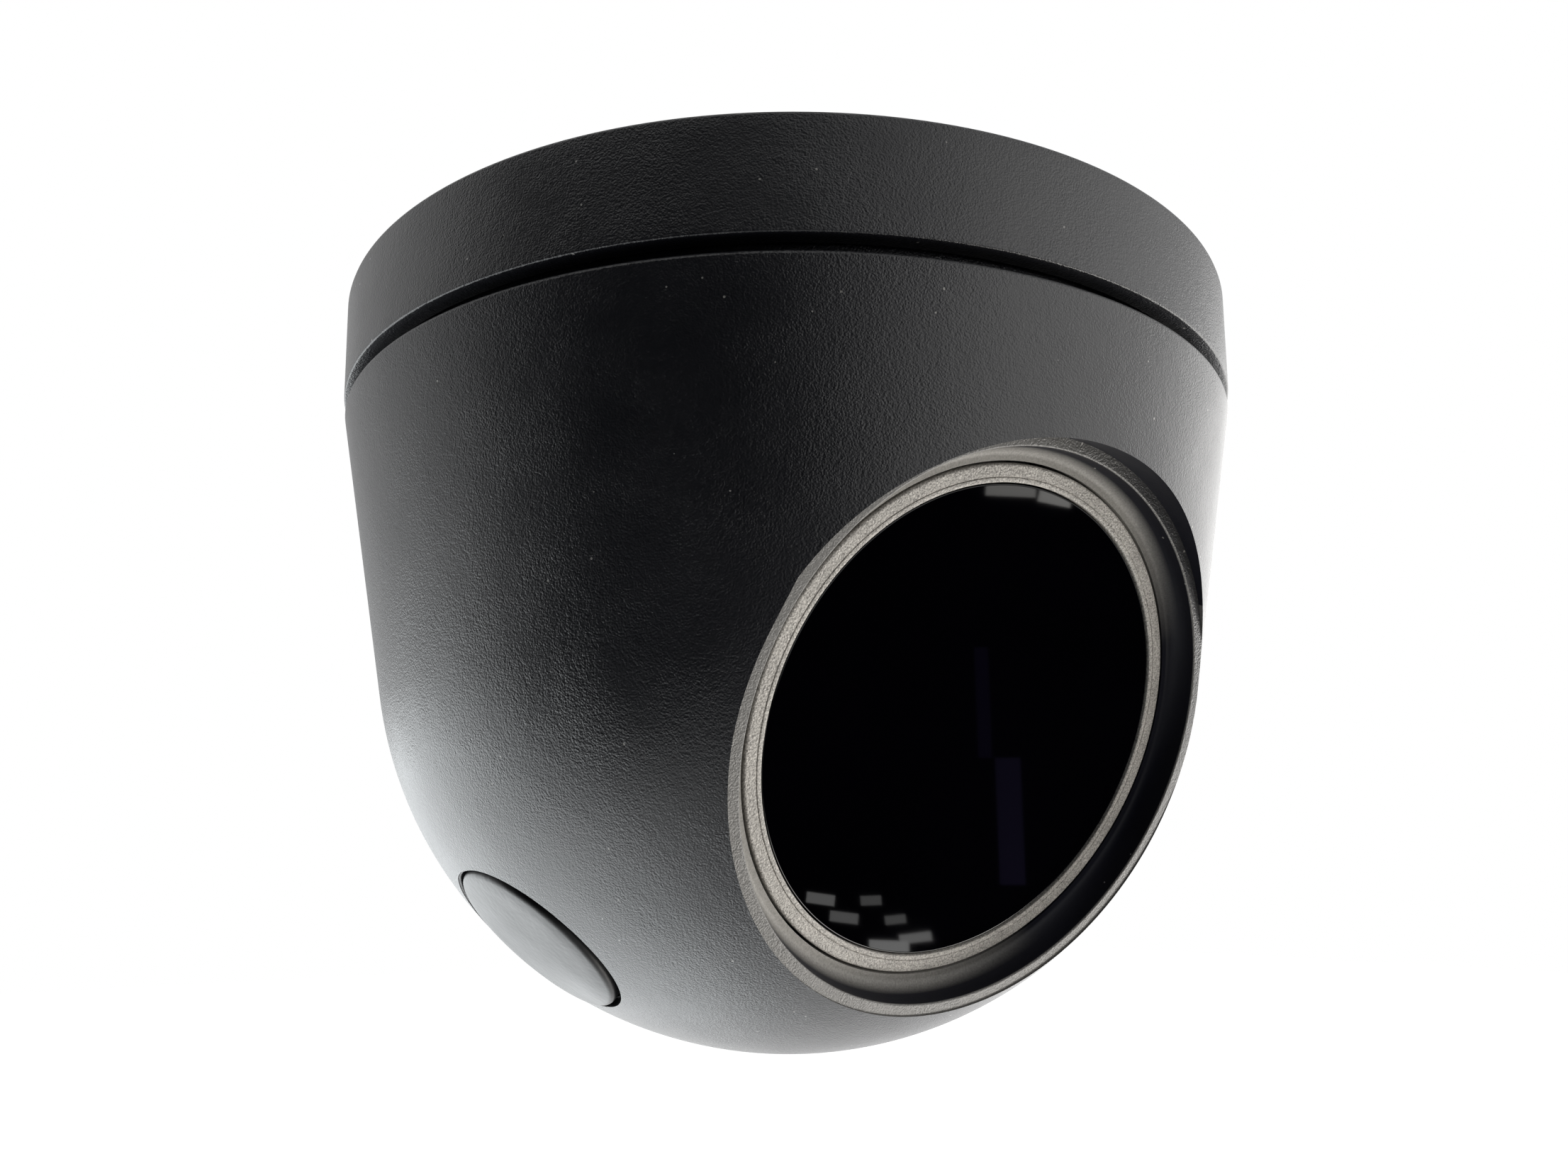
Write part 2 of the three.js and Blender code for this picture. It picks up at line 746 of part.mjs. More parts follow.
function windowPieces() {
  const glass = turned([
    [0, glassBack],
    [glassRadius, glassBack],
    [glassRadius, glassFace - glassEdge],
    [glassRadius - glassEdge, glassFace],
    [0, glassFace],
  ], windowSides);
  const gasket = ring(windowHole, bezelRadius, gasketTop - windowGasketThickness, gasketTop);
  return [
    piece('window_glass', glass, finishes.glass),
    piece('window_bezel', windowBezel(), finishes.bezel),
    piece('window_gasket', gasket, finishes.rubber),
  ];
}

// ---------------------------------------------------------------- chassis and main board
function chassisPlate() {
  const edge = lipInner - chassisPlay;
  const plate = ring(collarRadius + clearance, edge, chassisUnder, chassisTop);
  const rim = ring(edge - chassisRimWidth, edge, chassisTop - bite, chassisTop + chassisRimHeight);
  const lug = block(stopDepth, stopWidth, chassisTop - bite, ribUnder - stopGap);
  const standoffs = around(fixingCount, fixingStart, (angle) => onCircle(
    rod(standoffRadius, boardTop, chassisUnder + bite, tinySides),
    standoffCircle,
    angle,
  ));
  const headRoom = chassisScrewRadius * headWidthRatio + headPlay;
  const screwSeat = join(
    screwHole(chassisScrewRadius, chassisUnder - bite, chassisTop + bite),
    rod(headRoom, chassisTop, chassisTop + chassisRimHeight + bite, tinySides),
  );
  const pockets = around(fixingCount, bossStart + pocketTurn, (angle) => {
    const half = radians(pocketHalf);
    const shape = new THREE.Shape();
    shape.absarc(0, 0, standoffCircle + pocketWidth, -half, half);
    shape.absarc(0, 0, standoffCircle, half, -half, true);
    return prism(shape, chassisUnder - bite, chassisTop + bite, 2).rotateZ(angle);
  });
  return cut(
    join(plate, rim, onCircle(lug, stopRadius, -Math.PI / 2), ...standoffs),
    ...pockets,
    ...around(fixingCount, bossStart, (angle) => onCircle(screwSeat.clone(), shellBossCircle, angle)),
    ...around(fixingCount, fixingStart, (angle) => onCircle(
      screwHole(boardScrewRadius, boardTop - bite, chassisUnder - bite),
      standoffCircle,
      angle,
    )),
    ...onBothSides((side) => screwHole(bracketScrewRadius, chassisUnder - bite, chassisTop + bite)
      .translate(side * bracketScrewX, 0, 0)),
  );
}

function mainBoard() {
  const slotWidth = bracketThickness + 2 * bracketSlotPlay;
  const slotLength = bracketWidth + 2 * bracketSlotPlay;
  return cut(
    rod(boardRadius, boardUnder, boardTop, ringSides),
    ...onBothSides((side) => block(slotWidth, slotLength, boardUnder - bite, boardTop + bite)
      .translate(side * (bracketPlane + bracketThickness / 2), 0, 0)),
    rod(cableHoleRadius, boardUnder - bite, boardTop + bite).translate(0, cableHoleOffset, 0),
    ...around(fixingCount, fixingStart, (angle) => onCircle(
      screwHole(boardScrewRadius, boardUnder - bite, boardTop + bite),
      standoffCircle,
      angle,
    )),
  );
}

// The processor sits between the pan flange and a shell boss, and its heat sink meets the chassis.
function processorStack() {
  const sinkInner = flangeRadius + sinkFlangeGap;
  const sinkDepth = shellBossCircle - shellBossRadius - sinkBossGap - sinkInner;
  const chipTop = boardTop + processorHeight;
  const sinkUnder = chipTop + padHeight;
  const pitch = sinkWidth / sinkFins;
  const gaps = Array.from({ length: sinkFins - 1 }, (_, i) => block(
    pitch / 2,
    sinkDepth + 2 * bite,
    sinkUnder + sinkBase,
    chassisUnder - bite,
  ).translate(pitch * (i + 1) - sinkWidth / 2, 0, 0));
  const stack = [
    piece('heat_sink', cut(block(sinkWidth, sinkDepth, sinkUnder, chassisUnder), ...gaps), finishes.cast),
    piece('thermal_pad', block(padSize, padSize, chipTop, sinkUnder), finishes.pad),
    piece('processor', block(processorSize, processorSize, boardTop, chipTop), finishes.chip),
  ];
  stack.forEach((one) => one.position.set(0, sinkInner + sinkDepth / 2, 0));
  return stack;
}

function cableHeader() {
  const top = flangeUnder - headerGap;
  const housing = cut(
    block(headerWidth, headerDepth, boardTop, top),
    block(headerWidth - 2 * headerWall, headerDepth - 2 * headerWall, boardTop + headerFloor, top + bite),
  );
  const header = piece('cable_header', housing, finishes.connector);
  header.position.set(0, standoffRadius + headerSpacing + headerDepth / 2 - standoffCircle, 0);
  return header;
}

function chassisPieces() {
  const chassisScrews = around(fixingCount, bossStart, (angle, i) => {
    const one = screw(chassisScrewRadius, chassisThickness + chassisScrewBite).rotateX(Math.PI);
    one.translate(shellBossCircle, 0, chassisTop);
    return piece(`chassis_screw_${i + 1}`, one.rotateZ(angle), finishes.steel);
  });
  const boardScrews = around(fixingCount, fixingStart, (angle, i) => {
    const one = screw(boardScrewRadius, boardThickness + boardScrewBite);
    one.translate(standoffCircle, 0, boardUnder);
    return piece(`board_screw_${i + 1}`, one.rotateZ(angle), finishes.steel);
  });
  return [
    piece('chassis_plate', chassisPlate(), finishes.cast),
    piece('main_board', mainBoard(), finishes.board),
    cableHeader(),
    processorStack(),
    chassisScrews,
    boardScrews,
  ];
}

// ---------------------------------------------------------------- tilt brackets
function tiltBracket(side) {
  const cheekSegments = 10;
  const footUnder = chassisUnder - bracketThickness;
  const drop = pivotDepth + chassisUnder;
  const half = bracketWidth / 2;
  const shape = new THREE.Shape();
  shape.moveTo(-half, drop);
  shape.lineTo(-half, 0);
  shape.absarc(0, 0, half, Math.PI, 2 * Math.PI);
  shape.lineTo(half, drop);
  const eye = new THREE.Path();
  eye.absarc(0, 0, pivotRadius + slip, 0, 2 * Math.PI, true);
  shape.holes.push(eye);
  const cheek = prism(shape, 0, bracketThickness, cheekSegments);
  cheek.rotateX(Math.PI / 2).rotateZ(Math.PI / 2).translate(bracketPlane, 0, -pivotDepth);
  const footLength = bracketThickness + bracketFoot;
  const foot = block(footLength, bracketWidth, footUnder, chassisUnder)
    .translate(bracketPlane + footLength / 2, 0, 0);
  const hole = screwHole(bracketScrewRadius, footUnder - bite, chassisUnder + bite);
  return cut(join(cheek, foot), hole.translate(bracketScrewX, 0, 0)).rotateZ(side > 0 ? 0 : Math.PI);
}

function bracketPieces() {
  return [['right', 1], ['left', -1]].flatMap(([name, side]) => {
    const fixing = screw(bracketScrewRadius, bracketThickness + chassisThickness - seatGap);
    fixing.translate(side * bracketScrewX, 0, chassisUnder - bracketThickness);
    return [
      piece(`tilt_bracket_${name}`, tiltBracket(side), finishes.steel),
      piece(`bracket_screw_${name}`, fixing, finishes.steel),
    ];
  });
}

// ---------------------------------------------------------------- tilting carriage and lights
function tiltCarriage() {
  const across = (radius, low, high) => onBothSides((side) => rod(radius, low, high)
    .rotateY((side * Math.PI) / 2));
  const posts = lightPostAngles.map((angle) => onCircle(
    rod(lightPostRadius, carriageHalf - bite, lightBoardUnder - seatGap, tinySides),
    lightPostCircle,
    angle,
  ));
  const holeLow = lightBoardUnder - lightScrewBite - screwSpare;
  return cut(
    join(
      ring(carriageBore, carriageRadius, -carriageHalf, carriageHalf, carriageSides),
      ...across(trunnionRadius, carriageBore + bite, trunnionReach),
      ...posts,
    ),
    rod(carriageBore, -carriageHalf - bite, carriageHalf + bite, carriageSides),
    ...across(pivotRadius + clearance, trunnionReach - pivotBite - bite, trunnionReach + bite),
    ...lightPostAngles.map((angle) => onCircle(
      screwHole(lightScrewRadius, holeLow, lightBoardUnder),
      lightPostCircle,
      angle,
    )),
  );
}

function pivotScrew(side) {
  const headSeat = bracketPlane + bracketThickness + seatGap;
  const one = screw(pivotRadius, headSeat - trunnionReach + pivotBite);
  return one.translate(0, 0, -headSeat).rotateY((-side * Math.PI) / 2);
}

function lightBoard() {
  const disc = ring(focusRingRadius + lightBoardSpacing, lightBoardRadius, lightBoardUnder, lightBoardTop);
  return cut(disc, ...lightPostAngles.map((angle) => onCircle(
    screwHole(lightScrewRadius, lightBoardUnder - bite, lightBoardTop + bite),
    lightPostCircle,
    angle,
  )));
}

function emitter() {
  const top = lightFoot + emitterHeight;
  const level = top - emitterDomeSink;
  const dome = turned([[0, level], ...arc(0, level, emitterDomeRadius, 0, 90, 3)], tinySides);
  return join(block(emitterSize, emitterSize, lightFoot, top), dome);
}

function lightShield() {
  const inner = focusRingRadius + clearance;
  const root = inner + shieldWall + shieldFlare;
  return turned([
    [inner, lightFoot],
    [inner + shieldFoot, lightFoot],
    [inner + shieldFoot, lightFoot + shieldFootHeight],
    [root, lightFoot + shieldFootHeight],
    [inner + shieldWall, lensFront - shieldSetback],
    [inner, lensFront - shieldSetback],
  ], plugSides);
}

function carriagePieces() {
  const emitters = around(emitterCount, emitterStart, (angle, i) => piece(
    `infrared_emitter_${i + 1}`,
    onCircle(emitter(), emitterCircle, angle),
    finishes.emitter,
  ));
  const lightScrews = lightPostAngles.map((angle, i) => {
    const one = screw(lightScrewRadius, boardThickness + lightScrewBite).rotateX(Math.PI);
    one.translate(lightPostCircle, 0, lightFoot);
    return piece(`light_screw_${i + 1}`, one.rotateZ(angle), finishes.steel);
  });
  return [
    piece('tilt_carriage', tiltCarriage(), finishes.nylon),
    piece('tilt_pivot_right', pivotScrew(1), finishes.steel),
    piece('tilt_pivot_left', pivotScrew(-1), finishes.steel),
    piece('light_board', lightBoard(), finishes.board),
    piece('light_shield', lightShield(), finishes.rubber),
    emitters,
    lightScrews,
  ];
}

// ---------------------------------------------------------------- rolling sensor unit
// The ring turns in the carriage between its front flange and a spring clip behind.
function rollRing() {
  const grooveFront = -carriageHalf - clipSetback;
  const grooveBack = grooveFront - clipThickness - 2 * seatGap;
  const body = turned([
    [rollAperture, rollFlangeBack - rollFace],
    [rollRadius - rollWall, rollFlangeBack - rollFace],
    [rollRadius - rollWall, rollBack],
    [rollRadius - rollBeadInset, rollBack],
    [rollRadius - rollBeadInset, grooveBack],
    [rollRadius - clipGrooveDepth, grooveBack],
    [rollRadius - clipGrooveDepth, grooveFront],
    [rollRadius, grooveFront],
    [rollRadius, rollFlangeBack],
    [rollRadius + rollFlangeReach, rollFlangeBack],
    [rollRadius + rollFlangeReach, rollFlangeFront],
    [rollAperture, rollFlangeFront],
  ], carriageSides);
  const pins = onBothSides((side) => turned([
    [0, sensorBoardBack - sensorPinTip],
    [sensorPinRadius, sensorBoardBack - sensorPinTip],
    [sensorPinRadius, sensorBoardFront + hairGap],
    [sensorPostRadius, sensorBoardFront + hairGap],
    [sensorPostRadius, carriageHalf],
    [0, carriageHalf],
  ], tinySides).translate(side * sensorPinPlace, 0, 0));
  return join(body, ...pins);
}

function rollClip() {
  const gap = new THREE.Shape();
  gap.moveTo(0, 0);
  gap.lineTo(-clipGapHalf, rollRadius * 2);
  gap.lineTo(clipGapHalf, rollRadius * 2);
  const back = clipFront - clipThickness;
  const inner = rollRadius - clipGrooveDepth + seatGap;
  const hoop = ring(inner, carriageBore + clipReach, back, clipFront, carriageSides);
  return cut(hoop, prism(gap, back - bite, clipFront + bite));
}

function sensorBoard() {
  const shape = roundedPlate(sensorBoardSize, sensorBoardSize, sensorBoardCorner);
  const plate = prism(shape, sensorBoardBack, sensorBoardFront, 3);
  return cut(plate, ...onBothSides((side) => rod(
    sensorPinRadius + clearance,
    sensorBoardBack - bite,
    sensorBoardFront + bite,
    tinySides,
  ).translate(side * sensorPinPlace, 0, 0)));
}

function filterHousing() {
  const box = prism(roundedPlate(filterWidth, filterHeight, filterCorner), filterBack, filterFront, 3);
  const bore = lensRadius + clearance;
  const neck = ring(bore, bore + neckWall, filterFront - bite, neckFront, smallSides);
  const slot = block(
    bladeLength + filterTravel + 2 * clearance,
    bladeHeight + 2 * clearance,
    bladeBack - clearance,
    bladeFront + clearance,
  );
  return cut(
    join(box, neck),
    slot,
    rod(filterAperture, filterBack - bite, filterFront - neckSeat),
    rod(bore, filterFront - neckSeat, neckFront + bite),
  );
}

// A blade with a clear pane and an infrared-cut pane, one travel apart.
function filterPieces() {
  const hole = paneSize + 2 * seatGap;
  const blade = cut(
    prism(roundedPlate(bladeLength, bladeHeight, bladeCorner), bladeBack, bladeFront, 2),
    ...onBothSides((side) => block(hole, hole, bladeBack - bite, bladeFront + bite)
      .translate((side * filterTravel) / 2, 0, 0)),
  );
  const panes = [['clear_filter', -1], ['cut_filter', 1]].map(([name, side]) => {
    const pane = block(paneSize, paneSize, bladeBack + clearance, bladeFront - clearance);
    return piece(name, pane.translate((side * filterTravel) / 2, 0, 0), finishes.filter);
  });
  const unit = group(piece('filter_slider', blade, finishes.nylon), panes);
  unit.position.x = -filterTravel / 2;
  return unit;
}

function focusRing() {
  const pitch = (2 * Math.PI) / focusTeeth;
  const root = focusRingRadius - focusToothDepth;
  const corners = around(focusTeeth, 0, (start) => [
    [root, start],
    [focusRingRadius, start + pitch / 5],
    [focusRingRadius, start + pitch / 2],
    [root, start + (7 * pitch) / 10],
  ]).flat();
  const shape = new THREE.Shape(corners.map(([radius, angle]) => new THREE.Vector2(
    radius * Math.cos(angle),
    radius * Math.sin(angle),
  )));
  const bore = new THREE.Path();
  bore.absarc(0, 0, lensRadius + clearance, 0, 2 * Math.PI, true);
  shape.holes.push(bore);
  return prism(shape, focusBack, focusFront, smallSides);
}

function lensBarrel(back) {
  const headBack = lensFront - lensHeadLength;
  return turned([
    [lensBore, back],
    [lensRadius, back],
    [lensRadius, headBack],
    [lensFrontRadius, headBack + lensHeadTaper],
    [lensFrontRadius, lensFront - lensEdge],
    [lensFrontRadius - lensEdge, lensFront],
    [lensMouth, lensFront],
    [lensMouth - lensMouthTaper, lensFront - lensMouthDepth],
    [lensBore, lensFront - lensMouthDepth],
  ], smallSides);
}

// A plain disc with one bulging face, the bulge as three rings of a sphere.
function lensElement(radius, flat, rim, bulge) {
  const side = Math.sign(rim);
  const sphere = (radius ** 2 + bulge ** 2) / (2 * bulge);
  const rings = [1, 0.8, 0.5, 0].map((share) => {
    const reach = radius * share;
    return [reach, flat + rim + side * (bulge - sphere + Math.sqrt(sphere ** 2 - reach ** 2))];
  });
  const outline = [[0, flat], [radius, flat], ...rings];
  return turned(side > 0 ? outline : outline.reverse(), smallSides);
}

function lensPieces() {
  const back = filterFront - lensEngagement;
  const frontFlat = lensFront - lensMouthDepth + elementGap;
  const rearFlat = back + rearElementPlace + rearElementBulge + rearElementRim;
  const front = lensElement(frontElementRadius, frontFlat, frontElementRim, frontElementBulge);
  const rear = lensElement(rearElementRadius, rearFlat, -rearElementRim, rearElementBulge);
  return [
    piece('lens_barrel', lensBarrel(back), finishes.nylon),
    piece('front_element', front, finishes.lens),
    piece('rear_element', rear, finishes.lens),
  ];
}

function sensorPieces() {
  const shape = roundedPlate(sensorWidth, sensorHeight, sensorCorner);
  const foot = sensorBoardFront + hairGap;
  return [
    piece('roll_ring', rollRing(), finishes.nylon),
    piece('roll_clip', rollClip(), finishes.steel),
    piece('sensor_board', sensorBoard(), finishes.board),
    piece('image_sensor', prism(shape, foot, foot + sensorThickness, 2), finishes.chip),
    piece('filter_housing', filterHousing(), finishes.nylon),
    piece('focus_ring', focusRing(), finishes.nylon),
  ];
}

// ---------------------------------------------------------------- service port
function servicePlug() {
  const crownRadius = (plugRadius ** 2 + plugCrown ** 2) / (2 * plugCrown);
  const crownEdge = plugRadius - plugEdgeRound;
  const crown = [2 / 3, 1 / 3, 0].map((share) => {
    const radius = crownEdge * share;
    return [radius, plugFace + plugCrown - crownRadius + Math.sqrt(crownRadius ** 2 - radius ** 2)];
  });
  const stemInner = plugStemRadius - plugStemWall;
  return turned([
    [0, plugHeadUnder - seatGap],
    [stemInner, plugHeadUnder - seatGap],
    [stemInner, plugStemBack],
    [plugStemRadius, plugStemBack],
    [plugStemRadius, sealGrooveBack],
    [plugStemRadius - sealGroove, sealGrooveBack],
    [plugStemRadius - sealGroove, sealGrooveBack + sealGroove],
    [plugStemRadius, sealGrooveBack + sealGroove],
    [plugStemRadius, plugHeadUnder],
    [plugRadius, plugHeadUnder],
    ...arc(crownEdge, plugFace - plugEdgeRound, plugEdgeRound, 0, 70, 2),
    ...crown,
  ], plugSides);
}

function plugSeal() {
  const sealSides = 6;
  const centre = plugBoreRadius - plugSealPlay - plugSealRadius;
  const level = sealGrooveBack + sealGroove / 2;
  return turned(arc(centre, level, plugSealRadius, 0, 360 - 360 / sealSides, sealSides - 1), plugSides);
}

function cardPieces(level) {
  const front = serviceFront - socketSetback;
  const back = front + cardShow - cardLength - cardPlay - socketFloor;
  const cardBack = back + socketFloor + cardPlay;
  const socket = cut(
    block(cardWidth + 2 * socketWall, socketHeight, back, front),
    block(cardWidth + 2 * clearance, cardThickness + 2 * seatGap, back + socketFloor, front + bite),
  );
  const card = block(cardWidth, cardThickness, cardBack, cardBack + cardLength);
  return [
    piece('card_socket', socket.translate(0, level, 0), finishes.steel),
    piece('memory_card', card.translate(0, level, 0), finishes.chip),
  ];
}

function switchPieces(level) {
  const front = serviceFront - switchSetback;
  const foot = front - buttonSink;
  const body = cut(
    block(switchWidth, switchHeight, front - switchLength, front),
    rod(buttonRadius + clearance, foot - cardPlay - buttonEdge, front + bite, tinySides),
  );
  const button = turned([
    [0, foot],
    [buttonRadius, foot],
    [buttonRadius, front + buttonShow - buttonEdge],
    [buttonRadius - buttonEdge, front + buttonShow],
    [0, front + buttonShow],
  ], tinySides);
  return [
    piece('reset_switch', body.translate(0, level, 0), finishes.chip),
    piece('reset_button', button.translate(0, level, 0), finishes.connector),
  ];
}

function servicePieces() {
  const half = serviceBoardThickness / 2 + seatGap;
  const board = block(serviceBoardWidth, serviceBoardThickness, serviceBack, serviceFront);
  return [
    piece('service_board', board, finishes.board),
    cardPieces(half + socketHeight / 2),
    switchPieces(-half - switchHeight / 2),
    piece('service_plug', servicePlug(), finishes.plug),
    piece('plug_seal', plugSeal(), finishes.rubber),
  ];
}

// ---------------------------------------------------------------- assembly
const windowUnit = group(windowPieces(), carriagePieces(), sensorPieces(), filterPieces(), lensPieces());
windowUnit.applyMatrix4(windowPose);
const serviceUnit = group(servicePieces());
serviceUnit.applyMatrix4(plugPose);
const turret = group(
  piece('dome_shell', domeShell(), finishes.shell),
  chassisPieces(),
  bracketPieces(),
  windowUnit,
  serviceUnit,
);

export default group(base(), turret);
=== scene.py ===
"""A black ceiling camera turret in a white studio: its shell, window, service port and mounting ring."""

import json
import math

import bpy
from mathutils import Matrix, Vector


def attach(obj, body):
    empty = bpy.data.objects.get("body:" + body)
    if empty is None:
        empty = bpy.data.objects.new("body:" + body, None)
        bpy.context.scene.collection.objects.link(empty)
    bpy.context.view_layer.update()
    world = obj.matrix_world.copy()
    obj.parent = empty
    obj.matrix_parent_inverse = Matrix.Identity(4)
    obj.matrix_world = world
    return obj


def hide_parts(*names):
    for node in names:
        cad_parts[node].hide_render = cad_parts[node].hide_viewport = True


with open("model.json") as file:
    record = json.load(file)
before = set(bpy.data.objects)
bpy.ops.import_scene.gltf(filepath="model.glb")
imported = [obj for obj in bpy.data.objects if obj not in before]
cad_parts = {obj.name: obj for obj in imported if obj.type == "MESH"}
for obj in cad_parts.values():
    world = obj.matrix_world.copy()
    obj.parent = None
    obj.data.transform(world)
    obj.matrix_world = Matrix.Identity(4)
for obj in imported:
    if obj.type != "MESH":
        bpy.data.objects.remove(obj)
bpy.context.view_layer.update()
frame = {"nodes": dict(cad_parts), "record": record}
nodes = frame["nodes"]

# ---------------------------------------------------------------- sizes, in millimetres
mm = 0.001
clearance = 0.3
seat_gap = 0.2
hair_gap = 0.1
past = 1.0                        # how far a cutting form runs past a face
one_place = 0.001                 # points nearer than this are one point
merge_reach = 0.02                # points that a finished surface merges
mended_sides = 8                  # sides of the largest hole that is mended

base_radius = 65.0
base_draft = 0.5
base_height = 13.8
base_edge = 0.5
foot_edge = 0.25
skirt_wall = 2.6
skirt_draft = 0.2
plate_thickness = 3.0
rib_width = 2.0
rib_depth = 1.2
rib_overlap = 1.0
rib_edge = 0.15
stop_circle = 40.0
stop_length = 4.0
stop_width = 3.2
stop_foot = -6.6
stop_edge = 0.2
ring_soft_edge = 0.12
slot_circle = 45.0
slot_width = 5.0
slot_arc = 12.0
gasket_outer = 61.1
gasket_width = 3.2
gasket_depth = 1.2
gasket_edge = 0.35
gasket_groove = 0.2
cable_hole = 7.0
cable_back = 9.6                  # cable hole behind the centre
cable_bore = 4.0
sleeve_lip = 1.8
sleeve_lip_thickness = 1.5
sleeve_taper = 0.6
sleeve_sink = 0.4
sleeve_edge = 0.3
collar_radius = 24.0
collar_wall = 4.5
collar_foot = -10.3
flange_bore = 1.2
flange_bore_depth = 5.7

dome_top_radius = 64.2
dome_top = -15.5
dome_radius = 57.95
dome_drop = 56.95
dome_centre = -44.0
dome_edge_round = 0.7
shell_wall = 2.5
lip_outer = 61.5
lip_inner = 59.2
lip_top = -11.3
lip_chamfer = 0.3
lip_step = 0.5                    # rise of the hollow into the lip
boss_circle = 55.2
boss_radius = 3.4
boss_low = -31.0
boss_top = -9.0
boss_bore = 1.4
boss_bore_depth = 10.1
web_width = 3.0
web_step = 0.3                    # a web stops this far from its boss's ends
web_setback = 1.15

window_tilt = 25.0
pivot_level = -42.45
land_radius = 35.4
land_draft = 0.6
land_proud = 0.55
lip_radius = 33.95
lip_round = 0.2
recess_depth = 3.49
recess_floor = 0.55
ring_radius = 31.6
ring_width = 2.2
ring_proud = 0.12
ring_step = 0.55
ring_round = 0.3
pane_sink = 0.3
pane_thickness = 3.0
pane_edge = 0.08
face_margin = 0.1                 # flat start of a face beside its rounded edge
window_seat = 38.56
window_hole = 26.7
tub_back = 36.16
tub_radius = 37.8

plug_azimuth = -90.0
plug_elevation = -47.3
plug_radius = 12.0
plug_proud = 0.25
plug_crown = 0.8
plug_round = 0.8
plug_head = 2.7
plug_bore = 9.2
plug_wall = 2.6
plug_shelf_thickness = 4.0
plug_notch = 1.1
plug_notch_depth = 2.0
stem_wall = 2.3
stem_tail = 1.0
seal_radius = 0.55
seal_depth = 2.6
seal_play = 0.15
seat_round = 0.25                 # softened edge of the port's seat
seat_sink = 0.05
notch_drop = 0.1
mouth_flare = 0.2                 # the port's cutter widens past the seat's edge
mouth_rise = 0.6
mouth_reach = 6.0
port_boss_reach = 8.0
head_chamfer = 0.2
stem_chamfer = 0.3
board_width = 18.0
board_length = 15.6
board_thickness = 1.2
board_gap = 0.8                   # the stem stops this far before the board
board_play = 0.4
rail_width = 3.4
rail_depth = 5.6
rail_setback = 0.6
rail_edge = 0.3

land_level = math.sqrt(dome_radius ** 2 - land_radius ** 2) + land_proud
floor_level = land_level - recess_depth
ring_face = floor_level + ring_proud
pane_face = ring_face - pane_sink
pane_back = pane_face - pane_thickness
pane_radius = ring_radius - ring_width - seat_gap
window_bore = ring_radius + clearance
outer_reach = dome_radius * 1.5

plug_tilt = math.radians(plug_elevation)
plug_bowl = 1 / math.hypot(math.cos(plug_tilt) / dome_radius, math.sin(plug_tilt) / dome_drop)
plug_seat_level = math.sqrt(plug_bowl ** 2 - plug_radius ** 2)
plug_face = plug_seat_level + plug_proud
plug_under = plug_face - plug_head
plug_shelf = plug_under - clearance
plug_boss_back = plug_shelf - plug_shelf_thickness
stem_radius = plug_bore - clearance
stem_back = plug_boss_back - stem_tail
seal_groove = 2 * seal_radius + clearance
seal_back = plug_shelf - seal_depth
board_front = stem_back - board_gap
board_back = board_front - board_length

fine = 256                        # sides of the large turned forms
medium = 96
small = 48
plug_sides = 192
slot_sides = 32
seal_sides = 16
bowl_steps = 56
hollow_steps = 28
recess_steps = 14
crown_steps = 12
skirt_steps = 8


# ---------------------------------------------------------------- modelling
def drop_selection():
    if bpy.context.object and bpy.context.object.mode != "OBJECT":
        bpy.ops.object.mode_set(mode="OBJECT")
    bpy.ops.object.select_all(action="DESELECT")


def take(piece):
    """Makes one piece the selected and active one."""
    drop_selection()
    piece.select_set(True)
    bpy.context.view_layer.objects.active = piece


def pick_vertices(piece, wanted):
    """In edit mode, selects only the vertices that wanted(place) is true for."""
    bpy.ops.object.mode_set(mode="EDIT")
    bpy.ops.mesh.select_mode(type="VERT")
    bpy.ops.mesh.select_all(action="DESELECT")
    bpy.ops.object.mode_set(mode="OBJECT")
    for vertex in piece.data.vertices:
        vertex.select = wanted(vertex.co)
    bpy.ops.object.mode_set(mode="EDIT")


def round_arc(radius, height, size, start, end, steps):
    """Points of a rounded edge on a (radius, height) outline."""
    angles = [math.radians(start + (end - start) * i / steps) for i in range(steps + 1)]
    return [(radius + size * math.cos(a), height + size * math.sin(a)) for a in angles]


